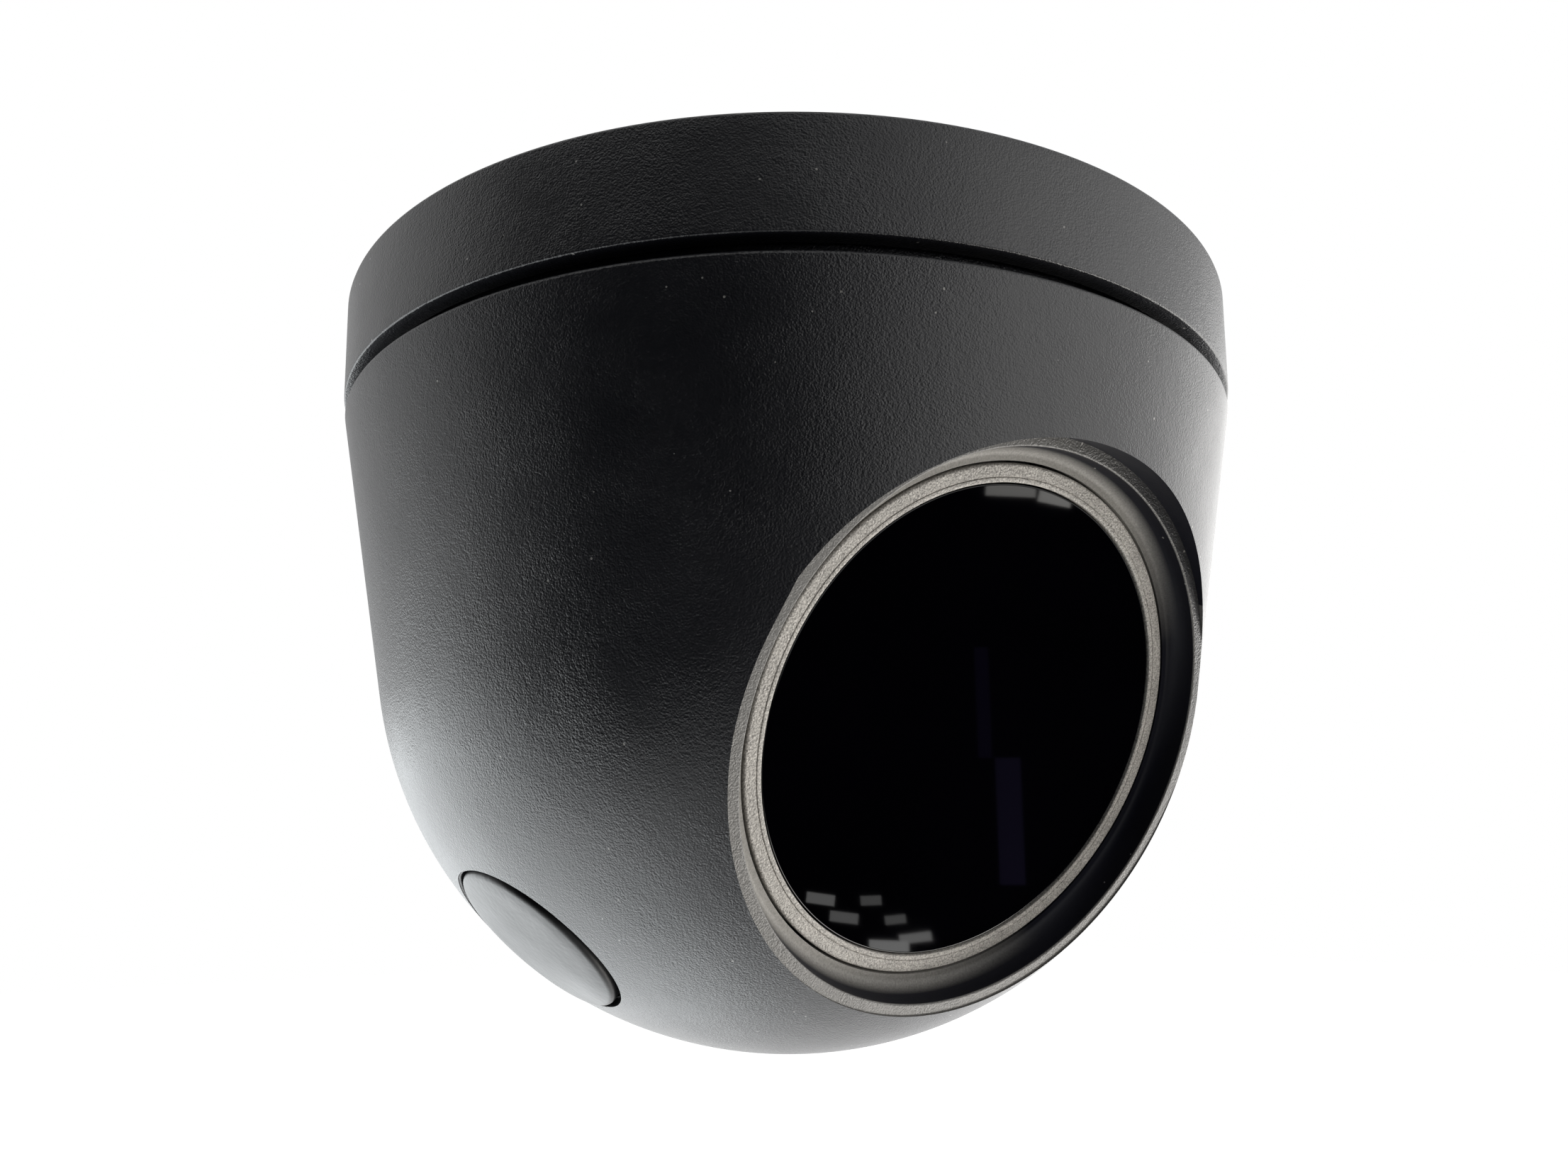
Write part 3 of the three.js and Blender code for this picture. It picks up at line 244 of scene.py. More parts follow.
def turn(name, outline, sides=fine):
    """Draws a ring out from one (radius, height) of an outline to the next.

    The outline closes on itself, or on the axis.
    """
    drop_selection()
    closed = outline[0][0] > 0
    rings = [point for point in outline if point[0] > 0]
    radius, height = rings[0]
    bpy.ops.mesh.primitive_circle_add(
        vertices=sides,
        radius=radius * mm,
        location=(0, 0, height * mm),
        fill_type="NOTHING" if closed else "TRIFAN",
    )
    piece = bpy.context.object
    piece.name = name
    bpy.ops.object.transform_apply(location=True, rotation=False, scale=False)
    if not closed:
        pick_vertices(piece, lambda place: place.xy.length < radius * mm / 2)
        bpy.ops.transform.translate(value=(0, 0, (outline[0][1] - height) * mm))
    pick_vertices(piece, lambda place: place.xy.length > radius * mm / 2)
    for next_radius, next_height in rings[1:]:
        ratio = next_radius / radius
        bpy.ops.mesh.extrude_edges_move()
        bpy.ops.transform.translate(value=(0, 0, (next_height - height) * mm))
        bpy.ops.transform.resize(value=(ratio, ratio, 1), center_override=(0, 0, 0))
        radius, height = next_radius, next_height
    if closed:
        bpy.ops.mesh.extrude_edges_move()
        first_radius, first_height = rings[0]
        bpy.ops.transform.translate(value=(0, 0, (first_height - height) * mm))
        ratio = first_radius / radius
        bpy.ops.transform.resize(value=(ratio, ratio, 1), center_override=(0, 0, 0))
    else:
        bpy.ops.mesh.extrude_edges_move()
        bpy.ops.transform.translate(value=(0, 0, (outline[-1][1] - height) * mm))
        bpy.ops.mesh.merge(type="CENTER")
    bpy.ops.mesh.select_all(action="SELECT")
    bpy.ops.mesh.remove_doubles(threshold=one_place * mm)
    bpy.ops.mesh.normals_make_consistent(inside=False)
    bpy.ops.object.mode_set(mode="OBJECT")
    return piece


def bar(name, width, depth, low, high, place=(0, 0), angle=0.0, edge=0.0):
    """A straight bar that stands on the XY plane, moved out by place and then turned round the axis."""
    drop_selection()
    centre = (place[0] * mm, place[1] * mm, (low + high) / 2 * mm)
    bpy.ops.mesh.primitive_cube_add(size=1, location=centre)
    piece = bpy.context.object
    piece.name = name
    piece.scale = (width * mm, depth * mm, (high - low) * mm)
    bpy.ops.object.transform_apply(location=True, rotation=True, scale=True)
    if edge:
        bpy.ops.object.mode_set(mode="EDIT")
        bpy.ops.mesh.select_all(action="SELECT")
        bpy.ops.mesh.bevel(offset=edge * mm, segments=2, affect="EDGES")
        bpy.ops.object.mode_set(mode="OBJECT")
    if angle:
        set_down(piece, Matrix.Rotation(math.radians(angle), 4, "Z"))
    return piece


def pin(name, radius, low, high, place=(0, 0), angle=0.0, sides=small):
    """A round bar that stands on the XY plane, placed as a bar is."""
    piece = turn(name, [(0, low), (radius, low), (radius, high), (0, high)], sides)
    move_out = Matrix.Translation((place[0] * mm, place[1] * mm, 0))
    return set_down(piece, Matrix.Rotation(math.radians(angle), 4, "Z") @ move_out)


def set_down(piece, pose):
    """Turns and moves a piece, and leaves its place in its mesh."""
    take(piece)
    piece.matrix_world = pose
    bpy.ops.object.transform_apply(location=True, rotation=True, scale=True)
    return piece


def shape_with(piece, tool, operation):
    take(piece)
    modifier = piece.modifiers.new(operation.lower(), "BOOLEAN")
    modifier.object = tool
    modifier.operation = operation
    modifier.solver = "EXACT"
    bpy.ops.object.modifier_apply(modifier=modifier.name)
    bpy.data.objects.remove(tool)
    return piece


def cut(piece, *tools):
    for tool in tools:
        shape_with(piece, tool, "DIFFERENCE")
    return piece


def weld(piece, *tools):
    for tool in tools:
        shape_with(piece, tool, "UNION")
    return piece


def soften(piece, width, angle):
    """Breaks the edges of a piece that are sharper than an angle."""
    take(piece)
    modifier = piece.modifiers.new("broken_edges", "BEVEL")
    modifier.width = width * mm
    modifier.segments = 2
    modifier.limit_method = "ANGLE"
    modifier.angle_limit = math.radians(angle)
    bpy.ops.object.modifier_apply(modifier=modifier.name)
    return piece


def drop_flaps(piece):
    """Deletes stray faces that a cut has left hanging by an open edge. The piece is in edit mode."""
    bpy.ops.mesh.select_mode(type="FACE")
    bpy.ops.mesh.select_all(action="DESELECT")
    bpy.ops.object.mode_set(mode="OBJECT")
    faces_on = {}
    for face in piece.data.polygons:
        for edge in face.edge_keys:
            faces_on[edge] = faces_on.get(edge, 0) + 1
    for face in piece.data.polygons:
        shared = [faces_on[edge] for edge in face.edge_keys]
        face.select = 1 in shared and 2 not in shared
    bpy.ops.object.mode_set(mode="EDIT")
    bpy.ops.mesh.delete(type="FACE")
    bpy.ops.mesh.select_mode(type="VERT")


def finish_surface(piece, smooth_angle):
    """Mends what the cuts have left, points the faces outward and smooths edges flatter than an angle."""
    take(piece)
    bpy.ops.object.mode_set(mode="EDIT")
    bpy.ops.mesh.select_all(action="SELECT")
    bpy.ops.mesh.remove_doubles(threshold=merge_reach * mm)
    bpy.ops.mesh.dissolve_degenerate(threshold=one_place * mm)
    bpy.ops.mesh.delete_loose()
    bpy.ops.mesh.select_all(action="SELECT")
    bpy.ops.mesh.fill_holes(sides=mended_sides)
    drop_flaps(piece)
    bpy.ops.mesh.select_all(action="SELECT")
    bpy.ops.mesh.fill_holes(sides=mended_sides)
    bpy.ops.mesh.select_all(action="SELECT")
    bpy.ops.mesh.normals_make_consistent(inside=False)
    bpy.ops.object.mode_set(mode="OBJECT")
    bpy.ops.object.shade_smooth_by_angle(angle=math.radians(smooth_angle))
    modifier = piece.modifiers.new("flat_faces_stay_flat", "WEIGHTED_NORMAL")
    modifier.keep_sharp = True
    modifier.weight = 80
    bpy.ops.object.modifier_apply(modifier=modifier.name)
    return piece


def aim(azimuth, elevation, level):
    """The pose that points a form modelled along +Z at an azimuth and elevation from the axis."""
    lean = Matrix.Rotation(math.pi / 2 - math.radians(elevation), 4, "X")
    return Matrix.Translation((0, 0, level * mm)) @ Matrix.Rotation(math.radians(azimuth), 4, "Z") @ lean


window_pose = aim(0, -window_tilt, pivot_level)
plug_pose = aim(plug_azimuth, plug_elevation, dome_centre)


# ---------------------------------------------------------------- turret shell
def bell_outline(inset, top_level, steps):
    """The bell up to a level: an elliptic bowl, and a tapering side tangent to it."""
    wide = dome_radius - inset
    deep = dome_drop - inset
    top_radius = dome_top_radius - inset
    rise = (top_level - dome_centre) * wide / deep
    tangent = math.atan2(rise, top_radius) - math.acos(wide / math.hypot(top_radius, rise))
    outline = []
    for i in range(steps + 1):
        angle = -math.pi / 2 + (tangent + math.pi / 2) * i / steps
        radius = 0 if i == 0 else wide * math.cos(angle)
        outline.append((radius, dome_centre + deep * math.sin(angle)))
    side_steps = max(2, steps // 4)
    foot_radius, foot_level = outline[-1]
    for i in range(1, side_steps + 1):
        share = i / side_steps
        outline.append((
            foot_radius + (top_radius - foot_radius) * share,
            foot_level + (top_level - foot_level) * share,
        ))
    return outline


def bell(name):
    edge_level = dome_top - dome_edge_round
    return turn(name, [
        *bell_outline(0, edge_level, bowl_steps),
        *round_arc(dome_top_radius - dome_edge_round, edge_level, dome_edge_round, 15, 90, 5),
        (lip_outer, dome_top),
        (lip_outer, lip_top - lip_chamfer),
        (lip_outer - lip_chamfer, lip_top),
        (0, lip_top),
    ])


def recess_cutter():
    floor_edge = window_bore + recess_floor
    rise = recess_depth - lip_round
    wall = []
    for i in range(1, recess_steps):
        turn_angle = i / recess_steps * math.pi / 2
        wall.append((
            floor_edge + (lip_radius - floor_edge) * math.sin(turn_angle),
            floor_level + rise * (1 - math.cos(turn_angle)),
        ))
    return set_down(turn("recess_cutter", [
        (0, 0),
        (window_hole, 0),
        (window_hole, window_seat),
        (window_bore, window_seat),
        (window_bore, floor_level),
        (floor_edge, floor_level),
        *wall,
        *round_arc(lip_radius + lip_round, land_level - lip_round, lip_round, 180, 90, 6),
        (land_radius, land_level),
        (land_radius + land_draft, outer_reach),
        (0, outer_reach),
    ]), window_pose)


def seat_outline(low, drop):
    """The port's seat, up to its softened edge, drop below the shell, and on out of the bowl."""
    seat = plug_radius + clearance
    edge = plug_seat_level - seat_sink
    level = edge - seat_round - drop
    mouth = seat + seat_round + mouth_flare
    return [
        (seat, low),
        (seat, level),
        *round_arc(seat + seat_round, level, seat_round, 180, 110, 3),
        (mouth, edge + mouth_rise - drop),
        (mouth, edge + mouth_reach),
        (0, edge + mouth_reach),
    ]


def port_cutter():
    hole = turn("port_cutter", [
        (0, plug_boss_back - past),
        (plug_bore, plug_boss_back - past),
        (plug_bore, plug_shelf),
        *seat_outline(plug_shelf, 0),
    ], medium)
    notch_floor = plug_face - plug_notch_depth
    notch = turn("lifting_notch", [(0, notch_floor), *seat_outline(notch_floor, notch_drop)], medium)
    set_down(notch, Matrix.Translation((plug_notch * mm, 0, 0)))
    return set_down(weld(hole, notch), plug_pose)


def port_boss():
    radius = plug_radius + clearance + plug_wall
    boss = pin("port_boss", radius, plug_boss_back, dome_radius + port_boss_reach, sides=medium)
    low, high = board_back + past, plug_boss_back + past
    rail_place = board_width / 2 + rail_setback
    for side in (-1, 1):
        place = (side * rail_place, 0)
        weld(boss, bar("board_rail", rail_width, rail_depth, low, high, place, edge=rail_edge))
    width = board_width + 2 * board_play
    thickness = board_thickness + 2 * clearance
    slot = bar("board_slot", width, thickness, board_back - past, board_front + board_play)
    return set_down(cut(boss, slot), plug_pose)


def turret_shell():
    hollow = turn("hollow", [
        *bell_outline(shell_wall, dome_top, hollow_steps),
        (lip_inner, dome_top + lip_step),
        (lip_inner, lip_top + past),
        (0, lip_top + past),
    ])
    shell = cut(bell("turret_shell"), hollow)
    tub = set_down(pin("window_tub", tub_radius, tub_back, outer_reach, sides=fine), window_pose)
    shape_with(tub, bell("tub_limit"), "INTERSECT")
    boss = shape_with(port_boss(), bell("boss_limit"), "INTERSECT")
    weld(shell, tub, boss)
    web_length = lip_outer - web_setback - boss_circle
    web_low, web_top = boss_low + web_step, boss_top - web_step
    web_place = (boss_circle + web_length / 2, 0)
    boss_place = (boss_circle, 0)
    bore_end = boss_top - boss_bore_depth
    for angle in (90, 210, 330):
        weld(shell, pin("shell_boss", boss_radius, boss_low, boss_top, boss_place, angle))
        weld(shell, bar("shell_web", web_length, web_width, web_low, web_top, web_place, angle))
        cut(shell, pin("boss_hole", boss_bore, bore_end, boss_top + past, boss_place, angle))
    cut(shell, recess_cutter(), port_cutter())
    return finish_surface(shell, 28)


# ---------------------------------------------------------------- window
def window_ring():
    inner = pane_radius + seat_gap
    bead = inner + ring_step
    # distance out and depth of each point of the groove beside the bead, and of the rounded inner rim
    groove = [(0.22, 0.02), (0.16, 0.02), (0.08, 0.12), (0, 0.01), (-0.06, 0)]
    rim = [(0.12, 0.02), (0.05, 0.05), (0, 0.12)]
    piece = turn("window_ring", [
        (inner, pane_back),
        (ring_radius, pane_back),
        *round_arc(ring_radius - ring_round, ring_face - ring_round, ring_round, 0, 90, 6),
        (ring_radius - ring_round - face_margin, ring_face),
        *[(bead + out, ring_face - depth) for out, depth in groove],
        *[(inner + out, ring_face - depth) for out, depth in rim],
    ])
    return finish_surface(set_down(piece, window_pose), 24)


def window_pane():
    piece = turn("window_pane", [
        (0, pane_back),
        (pane_radius, pane_back),
        (pane_radius, pane_face - pane_edge),
        *round_arc(pane_radius - pane_edge, pane_face - pane_edge, pane_edge, 30, 90, 3),
        (pane_radius - pane_edge - face_margin, pane_face),
        (0, pane_face),
    ])
    return finish_surface(set_down(piece, window_pose), 24)


# ---------------------------------------------------------------- service port
def port_plug():
    crown_radius = (plug_radius ** 2 + plug_crown ** 2) / (2 * plug_crown)
    crown_edge = plug_radius - plug_round
    crown = []
    for i in reversed(range(crown_steps)):
        radius = crown_edge * i / crown_steps
        drop = crown_radius - math.sqrt(crown_radius ** 2 - radius ** 2)
        crown.append((radius, plug_face + plug_crown - drop))
    stem_inner = stem_radius - stem_wall
    piece = turn("port_plug", [
        (0, plug_under - seat_gap),
        (stem_inner, plug_under - seat_gap),
        (stem_inner, stem_back),
        (stem_radius - stem_chamfer, stem_back),
        (stem_radius, stem_back + stem_chamfer),
        (stem_radius, seal_back),
        (stem_radius - seal_groove, seal_back),
        (stem_radius - seal_groove, seal_back + seal_groove),
        (stem_radius, seal_back + seal_groove),
        (stem_radius, plug_under),
        (plug_radius - head_chamfer, plug_under),
        (plug_radius, plug_under + head_chamfer),
        *round_arc(crown_edge, plug_face - plug_round, plug_round, 0, 78, 8),
        *crown,
    ], plug_sides)
    return finish_surface(set_down(piece, plug_pose), 24)


def port_seal():
    centre = plug_bore - seal_play - seal_radius
    level = seal_back + seal_groove / 2
    last = 360 - 360 / seal_sides
    piece = turn("port_seal", round_arc(centre, level, seal_radius, 0, last, seal_sides - 1), medium)
    return finish_surface(set_down(piece, plug_pose), 60)


# ---------------------------------------------------------------- mounting ring
def curved_slot(angle):
    """A curved screw slot's cutter: a round end whose front half is swept along the slot's circle."""
    drop_selection()
    bpy.ops.mesh.primitive_circle_add(
        vertices=slot_sides,
        radius=slot_width / 2 * mm,
        location=(slot_circle * mm, 0, (-plate_thickness - past) * mm),
        fill_type="NGON",
    )
    slot = bpy.context.object
    slot.name = "curved_slot"
    bpy.ops.object.transform_apply(location=True, rotation=True, scale=True)
    pick_vertices(slot, lambda place: place.y > -one_place * mm)
    bpy.ops.mesh.select_mode(type="EDGE")
    bpy.ops.mesh.spin(steps=12, angle=-math.radians(slot_arc), center=(0, 0, 0), axis=(0, 0, 1))
    bpy.ops.mesh.select_all(action="SELECT")
    bpy.ops.mesh.remove_doubles(threshold=one_place * mm)
    bpy.ops.mesh.extrude_region_move()
    bpy.ops.transform.translate(value=(0, 0, (plate_thickness + 2 * past) * mm))
    bpy.ops.mesh.select_all(action="SELECT")
    bpy.ops.mesh.normals_make_consistent(inside=False)
    bpy.ops.object.mode_set(mode="OBJECT")
    return set_down(slot, Matrix.Rotation(math.radians(angle - slot_arc / 2), 4, "Z"))


def mounting_ring():
    foot = base_radius - base_draft
    wall_inner = base_radius - skirt_wall
    collar_bore = collar_radius - collar_wall
    groove_inner = gasket_outer - gasket_width - clearance
    groove_outer = gasket_outer + clearance
    ring = turn("mounting_ring", [
        (0, -plate_thickness),
        (collar_bore, -plate_thickness),
        (collar_bore, collar_foot),
        (collar_radius, collar_foot),
        (collar_radius, -plate_thickness),
        (wall_inner, -plate_thickness),
        (wall_inner - skirt_draft, -base_height),
        (foot - foot_edge, -base_height),
        *round_arc(foot - foot_edge, foot_edge - base_height, foot_edge, -60, 0, 3),
        *[(
            foot + base_draft * i / skirt_steps,
            -base_height + (base_height - base_edge) * i / skirt_steps,
        ) for i in range(1, skirt_steps)],
        (base_radius, -base_edge),
        *round_arc(base_radius - base_edge, -base_edge, base_edge, 30, 90, 3),
        (groove_outer, 0),
        (groove_outer, -gasket_depth),
        (groove_inner, -gasket_depth),
        (groove_inner, 0),
        (0, 0),
    ])
    into_plate = -plate_thickness + past
    rib_length = wall_inner - collar_radius + 2 * rib_overlap
    rib_place = (collar_radius - rib_overlap + rib_length / 2, 0)
    rib_low = -plate_thickness - rib_depth
    for angle in range(0, 360, 60):
        weld(ring, bar("rib", rib_length, rib_width, rib_low, into_plate, rib_place, angle, rib_edge))
    stop_place = (stop_circle, 0)
    weld(ring, bar("pan_stop", stop_length, stop_width, stop_foot, into_plate, stop_place, 90, stop_edge))
    cut(ring, pin("cable_hole", cable_hole, -plate_thickness - past, past, (0, cable_back)))
    flange_place = (collar_radius - collar_wall / 2, 0)
    bore_end = collar_foot + flange_bore_depth
    for angle in (30, 150, 270):
        cut(ring, curved_slot(angle))
        cut(ring, pin("flange_hole", flange_bore, collar_foot - past, bore_end, flange_place, angle))
    return finish_surface(soften(ring, ring_soft_edge, 50), 30)


def ceiling_seal():
    inner = gasket_outer - gasket_width
    middle = gasket_outer - gasket_width / 2
    piece = turn("ceiling_seal", [
        (inner, seat_gap - gasket_depth),
        (gasket_outer, seat_gap - gasket_depth),
        (gasket_outer, -gasket_edge),
        *round_arc(gasket_outer - gasket_edge, -gasket_edge, gasket_edge, 20, 90, 4),
        (middle + gasket_edge, 0),
        (middle + gasket_groove, -gasket_groove),
        (middle - gasket_groove, -gasket_groove),
        (middle - gasket_edge, 0),
        *round_arc(inner + gasket_edge, -gasket_edge, gasket_edge, 90, 180, 4),
    ])
    return finish_surface(piece, 40)


def cable_sleeve():
    neck = cable_hole - clearance
    top = -plate_thickness - hair_gap
    edge_level = -sleeve_sink - sleeve_edge
    # distance out and depth of each point of the bore's rounded mouth
    mouth = [(1, 0), (0.4, 0.25), (0, 0.8)]
    piece = turn("cable_sleeve", [
        (cable_bore, top - sleeve_lip_thickness - sleeve_taper),
        (neck + sleeve_lip - sleeve_edge, top - sleeve_lip_thickness),
        (neck + sleeve_lip, top - sleeve_lip_thickness + sleeve_edge),
        (neck + sleeve_lip, top),
        (neck, top),
        (neck, edge_level),
        *round_arc(neck - sleeve_edge, edge_level, sleeve_edge, 20, 90, 3),
        *[(cable_bore + out, -sleeve_sink - depth) for out, depth in mouth],
    ], medium)
    return finish_surface(set_down(piece, Matrix.Translation((0, cable_back * mm, 0))), 40)


# ---------------------------------------------------------------- shader helpers
def feed(tree, node, inputs):
    """Sets inputs of a node, each to a value or to another node's output."""
    for name, value in inputs.items():
        socket = node.inputs[name]
        if isinstance(value, bpy.types.NodeSocket):
            tree.links.new(value, socket)
        else:
            socket.default_value = value


def add(tree, kind, inputs=None, **settings):
    """Adds a node: settings are the node's own properties."""
    made = tree.nodes.new("ShaderNode" + kind)
    for name, value in settings.items():
        setattr(made, name, value)
    feed(tree, made, inputs or {})
    return made


def reckon(tree, operation, *values):
    return add(tree, "Math", dict(enumerate(values)), operation=operation).outputs[0]


def spread(tree, value, low, high):
    """A value from 0 to 1, spread out from low to high."""
    return add(tree, "MapRange", {"Value": value, "To Min": low, "To Max": high}).outputs[0]


def stretch(tree, value, low, high):
    """A value that runs from low to high, stretched out to run from 0 to 1."""
    return add(tree, "MapRange", {"Value": value, "From Min": low, "From Max": high}).outputs[0]


def blend(tree, share, first, second, **settings):
    """Two colours mixed by a share: each is three numbers or a node's output."""
    first, second = (
        tone if isinstance(tone, bpy.types.NodeSocket) else (*tone, 1)
        for tone in (first, second)
    )
    inputs = {"Factor": share, "A": first, "B": second}
    return add(tree, "Mix", inputs, data_type="RGBA", **settings).outputs["Result"]


def noise(tree, place, scale, detail, **inputs):
    return add(tree, "TexNoise", {"Vector": place, "Scale": scale, "Detail": detail, **inputs}).outputs[0]


def bumps(tree, height, depth):
    """The normal of a surface in relief, with its depth in millimetres."""
    return add(tree, "Bump", {"Height": height, "Distance": depth * mm}).outputs[0]


def new_group(name, wants, gives):
    group = bpy.data.node_groups.new(name, "ShaderNodeTree")
    for socket_name, kind, value in wants:
        socket = group.interface.new_socket(name=socket_name, in_out="INPUT", socket_type=kind)
        if value is not None:
            socket.default_value = value
    for socket_name, kind in gives:
        group.interface.new_socket(name=socket_name, in_out="OUTPUT", socket_type=kind)
    start = group.nodes.new("NodeGroupInput")
    end = group.nodes.new("NodeGroupOutput")
    return group, start.outputs, end.inputs


def use(tree, group, inputs):
    node = tree.nodes.new("ShaderNodeGroup")
    node.node_tree = group
    feed(tree, node, inputs)
    return node.outputs


def leather_grain():
    """Fine moulded leather grain: pebbles close together, broken up by a softer unevenness."""
    group, wants, gives = new_group("leather_grain", [
        ("Place", "NodeSocketVector", None),
        ("Pebble Scale", "NodeSocketFloat", 2600.0),
        ("Unevenness", "NodeSocketFloat", 0.5),
    ], [("Height", "NodeSocketFloat")])
    place, scale = wants["Place"], wants["Pebble Scale"]
    bend = add(group, "TexNoise", {"Vector": place, "Scale": 900.0, "Detail": 1.0})
    pull_reach = (0.4 * mm, 0.4 * mm, 0.4 * mm)
    pull = add(group, "VectorMath", {0: bend.outputs["Color"], 1: pull_reach}, operation="MULTIPLY")
    drawn = add(group, "VectorMath", {0: place, 1: pull.outputs[0]}, operation="ADD")
    cells = {"Vector": drawn.outputs[0], "Scale": scale, "Smoothness": 0.6}
    pebbles = add(group, "TexVoronoi", cells, feature="SMOOTH_F1")
    uneven = noise(group, place, scale, 2.0, Roughness=0.6)
    round_top = reckon(group, "SUBTRACT", 1.0, pebbles.outputs["Distance"])
    rough_part = reckon(group, "MULTIPLY", uneven, wants["Unevenness"])
    group.links.new(reckon(group, "ADD", round_top, rough_part), gives["Height"])
    return group


def settled_dust():
    """A colour with scattered pale specks of dust over it, sparse and tiny."""
    group, wants, gives = new_group("settled_dust", [
        ("Place", "NodeSocketVector", None),
        ("Colour", "NodeSocketColor", None),
        ("Amount", "NodeSocketFloat", 0.5),
        ("Speck Scale", "NodeSocketFloat", 420.0),
        ("Speck Size", "NodeSocketFloat", 0.06),
    ], [("Colour", "NodeSocketColor")])
    cells = add(group, "TexVoronoi", {"Vector": wants["Place"], "Scale": wants["Speck Scale"]})
    near = reckon(group, "LESS_THAN", cells.outputs["Distance"], wants["Speck Size"])
    chance = add(group, "SeparateColor", {"Color": cells.outputs["Color"]})
    rare = reckon(group, "GREATER_THAN", chance.outputs[0], 0.62)
    specks = reckon(group, "MULTIPLY", near, rare)
    amount = reckon(group, "MULTIPLY", specks, wants["Amount"])
    group.links.new(blend(group, amount, wants["Colour"], (0.40, 0.39, 0.37)), gives["Colour"])
    return group


def cloudiness():
    """A slow change over the surface, from handling and the moulding's flow."""
    group, wants, gives = new_group("cloudiness", [
        ("Place", "NodeSocketVector", None),
        ("Cloud Scale", "NodeSocketFloat", 40.0),
    ], [("Cloud", "NodeSocketFloat")])
    cloud = noise(group, wants["Place"], wants["Cloud Scale"], 4.0, Roughness=0.55)
    group.links.new(stretch(group, cloud, 0.3, 0.7), gives["Cloud"])
    return group


def make_painted_sand_highlight():
    """A black tone, lifted to a pale sandy grey as far as the mark says: a painted highlight."""
    group, wants, gives = new_group("make_painted_sand_highlight", [
        ("Place", "NodeSocketVector", None),
        ("Black", "NodeSocketColor", None),
        ("Highlight Share", "NodeSocketFloat", 0.0),
    ], [("Colour", "NodeSocketColor")])
    speckle = noise(group, wants["Place"], 4200.0, 2.0)
    # the sandy tones are the colour of the painted highlight
    highlight_tone = blend(group, speckle, (0.14, 0.134, 0.123), (0.38, 0.366, 0.34))
    group.links.new(blend(group, wants["Highlight Share"], wants["Black"], highlight_tone), gives["Colour"])
    return group


grain = leather_grain()
dust = settled_dust()
clouds = cloudiness()
painted_sand_highlight = make_painted_sand_highlight()


def new_material(name):
    material = bpy.data.materials.new(name)
    material.use_nodes = True
    material.node_tree.nodes.clear()
    return material, material.node_tree


def new_surface(name, cloud_scale):
    """A material with its Principled surface, the place on the object, and clouds of a scale over it."""
    material, tree = new_material(name)
    surface = add(tree, "BsdfPrincipled")
    add(tree, "OutputMaterial", {"Surface": surface.outputs[0]})
    place = add(tree, "TexCoord").outputs["Object"]
    cloud = use(tree, clouds, {"Place": place, "Cloud Scale": cloud_scale})["Cloud"]
    return material, tree, surface, place, cloud


def moulding(name, dark, light, roughness, grain_scale, grain_depth, unevenness=0.5, specular=0.5):
    """Moulded plastic: two close tones in slow clouds, and leather grain in its relief."""
    material, tree, surface, place, cloud = new_surface(name, 40.0)
    pebbles = {"Place": place, "Pebble Scale": grain_scale, "Unevenness": unevenness}
    feed(tree, surface, {
        "Base Color": blend(tree, cloud, dark, light),
        "Roughness": spread(tree, cloud, *roughness),
        "Normal": bumps(tree, use(tree, grain, pebbles)["Height"], grain_depth),
        "Specular IOR Level": specular,
    })
    return material


def metal(name, colour, roughness, grain_scale, grain_depth):
    """Plated or cast metal with a fine uneven surface."""
    material, tree, surface, place, cloud = new_surface(name, 220.0)
    darker = tuple(c * 0.78 for c in colour)
    feed(tree, surface, {
        "Base Color": blend(tree, cloud, darker, colour),
        "Roughness": spread(tree, cloud, *roughness),
        "Normal": bumps(tree, noise(tree, place, grain_scale, 3.0), grain_depth),
        "Metallic": 1.0,
    })
    return material


def board_mask(name):
    """Circuit board: solder mask with copper runs showing through as a lighter green."""
    material, tree, surface, place, cloud = new_surface(name, 150.0)
    runs = add(tree, "TexBrick", {
        "Vector": place,
        "Color1": (0.010, 0.075, 0.035, 1),
        "Color2": (0.014, 0.095, 0.045, 1),
        "Mortar": (0.03, 0.16, 0.08, 1),
        "Scale": 260.0,
        "Mortar Size": 0.018,
    })
    feed(tree, surface, {
        "Base Color": blend(tree, cloud, runs.outputs["Color"], (0.008, 0.06, 0.03)),
        "Roughness": spread(tree, cloud, 0.3, 0.45),
        "Normal": bumps(tree, runs.outputs["Fac"], 0.02),
    })
    return material


def dark_pane(name):
    """Deep black window glass, clear only to infrared, with faint wiping marks in its polish."""
    material, tree, surface, place, cloud = new_surface(name, 25.0)
    feed(tree, surface, {
        "Base Color": blend(tree, cloud, (0.0002, 0.0002, 0.0004), (0.0005, 0.0004, 0.0010)),
        "Roughness": spread(tree, cloud, 0.015, 0.035),
        "Specular IOR Level": 0.3,
    })
    return material


def clear_part(name, colour, roughness, transmission):
    """A lens, filter or emitter body of clear glass or resin with a tint."""
    material, tree, surface, place, cloud = new_surface(name, 300.0)
    deeper = tuple(c * 0.8 for c in colour)
    feed(tree, surface, {
        "Base Color": blend(tree, cloud, deeper, colour),
        "Roughness": spread(tree, cloud, roughness, roughness + 0.04),
        "Transmission Weight": transmission,
    })
    return material


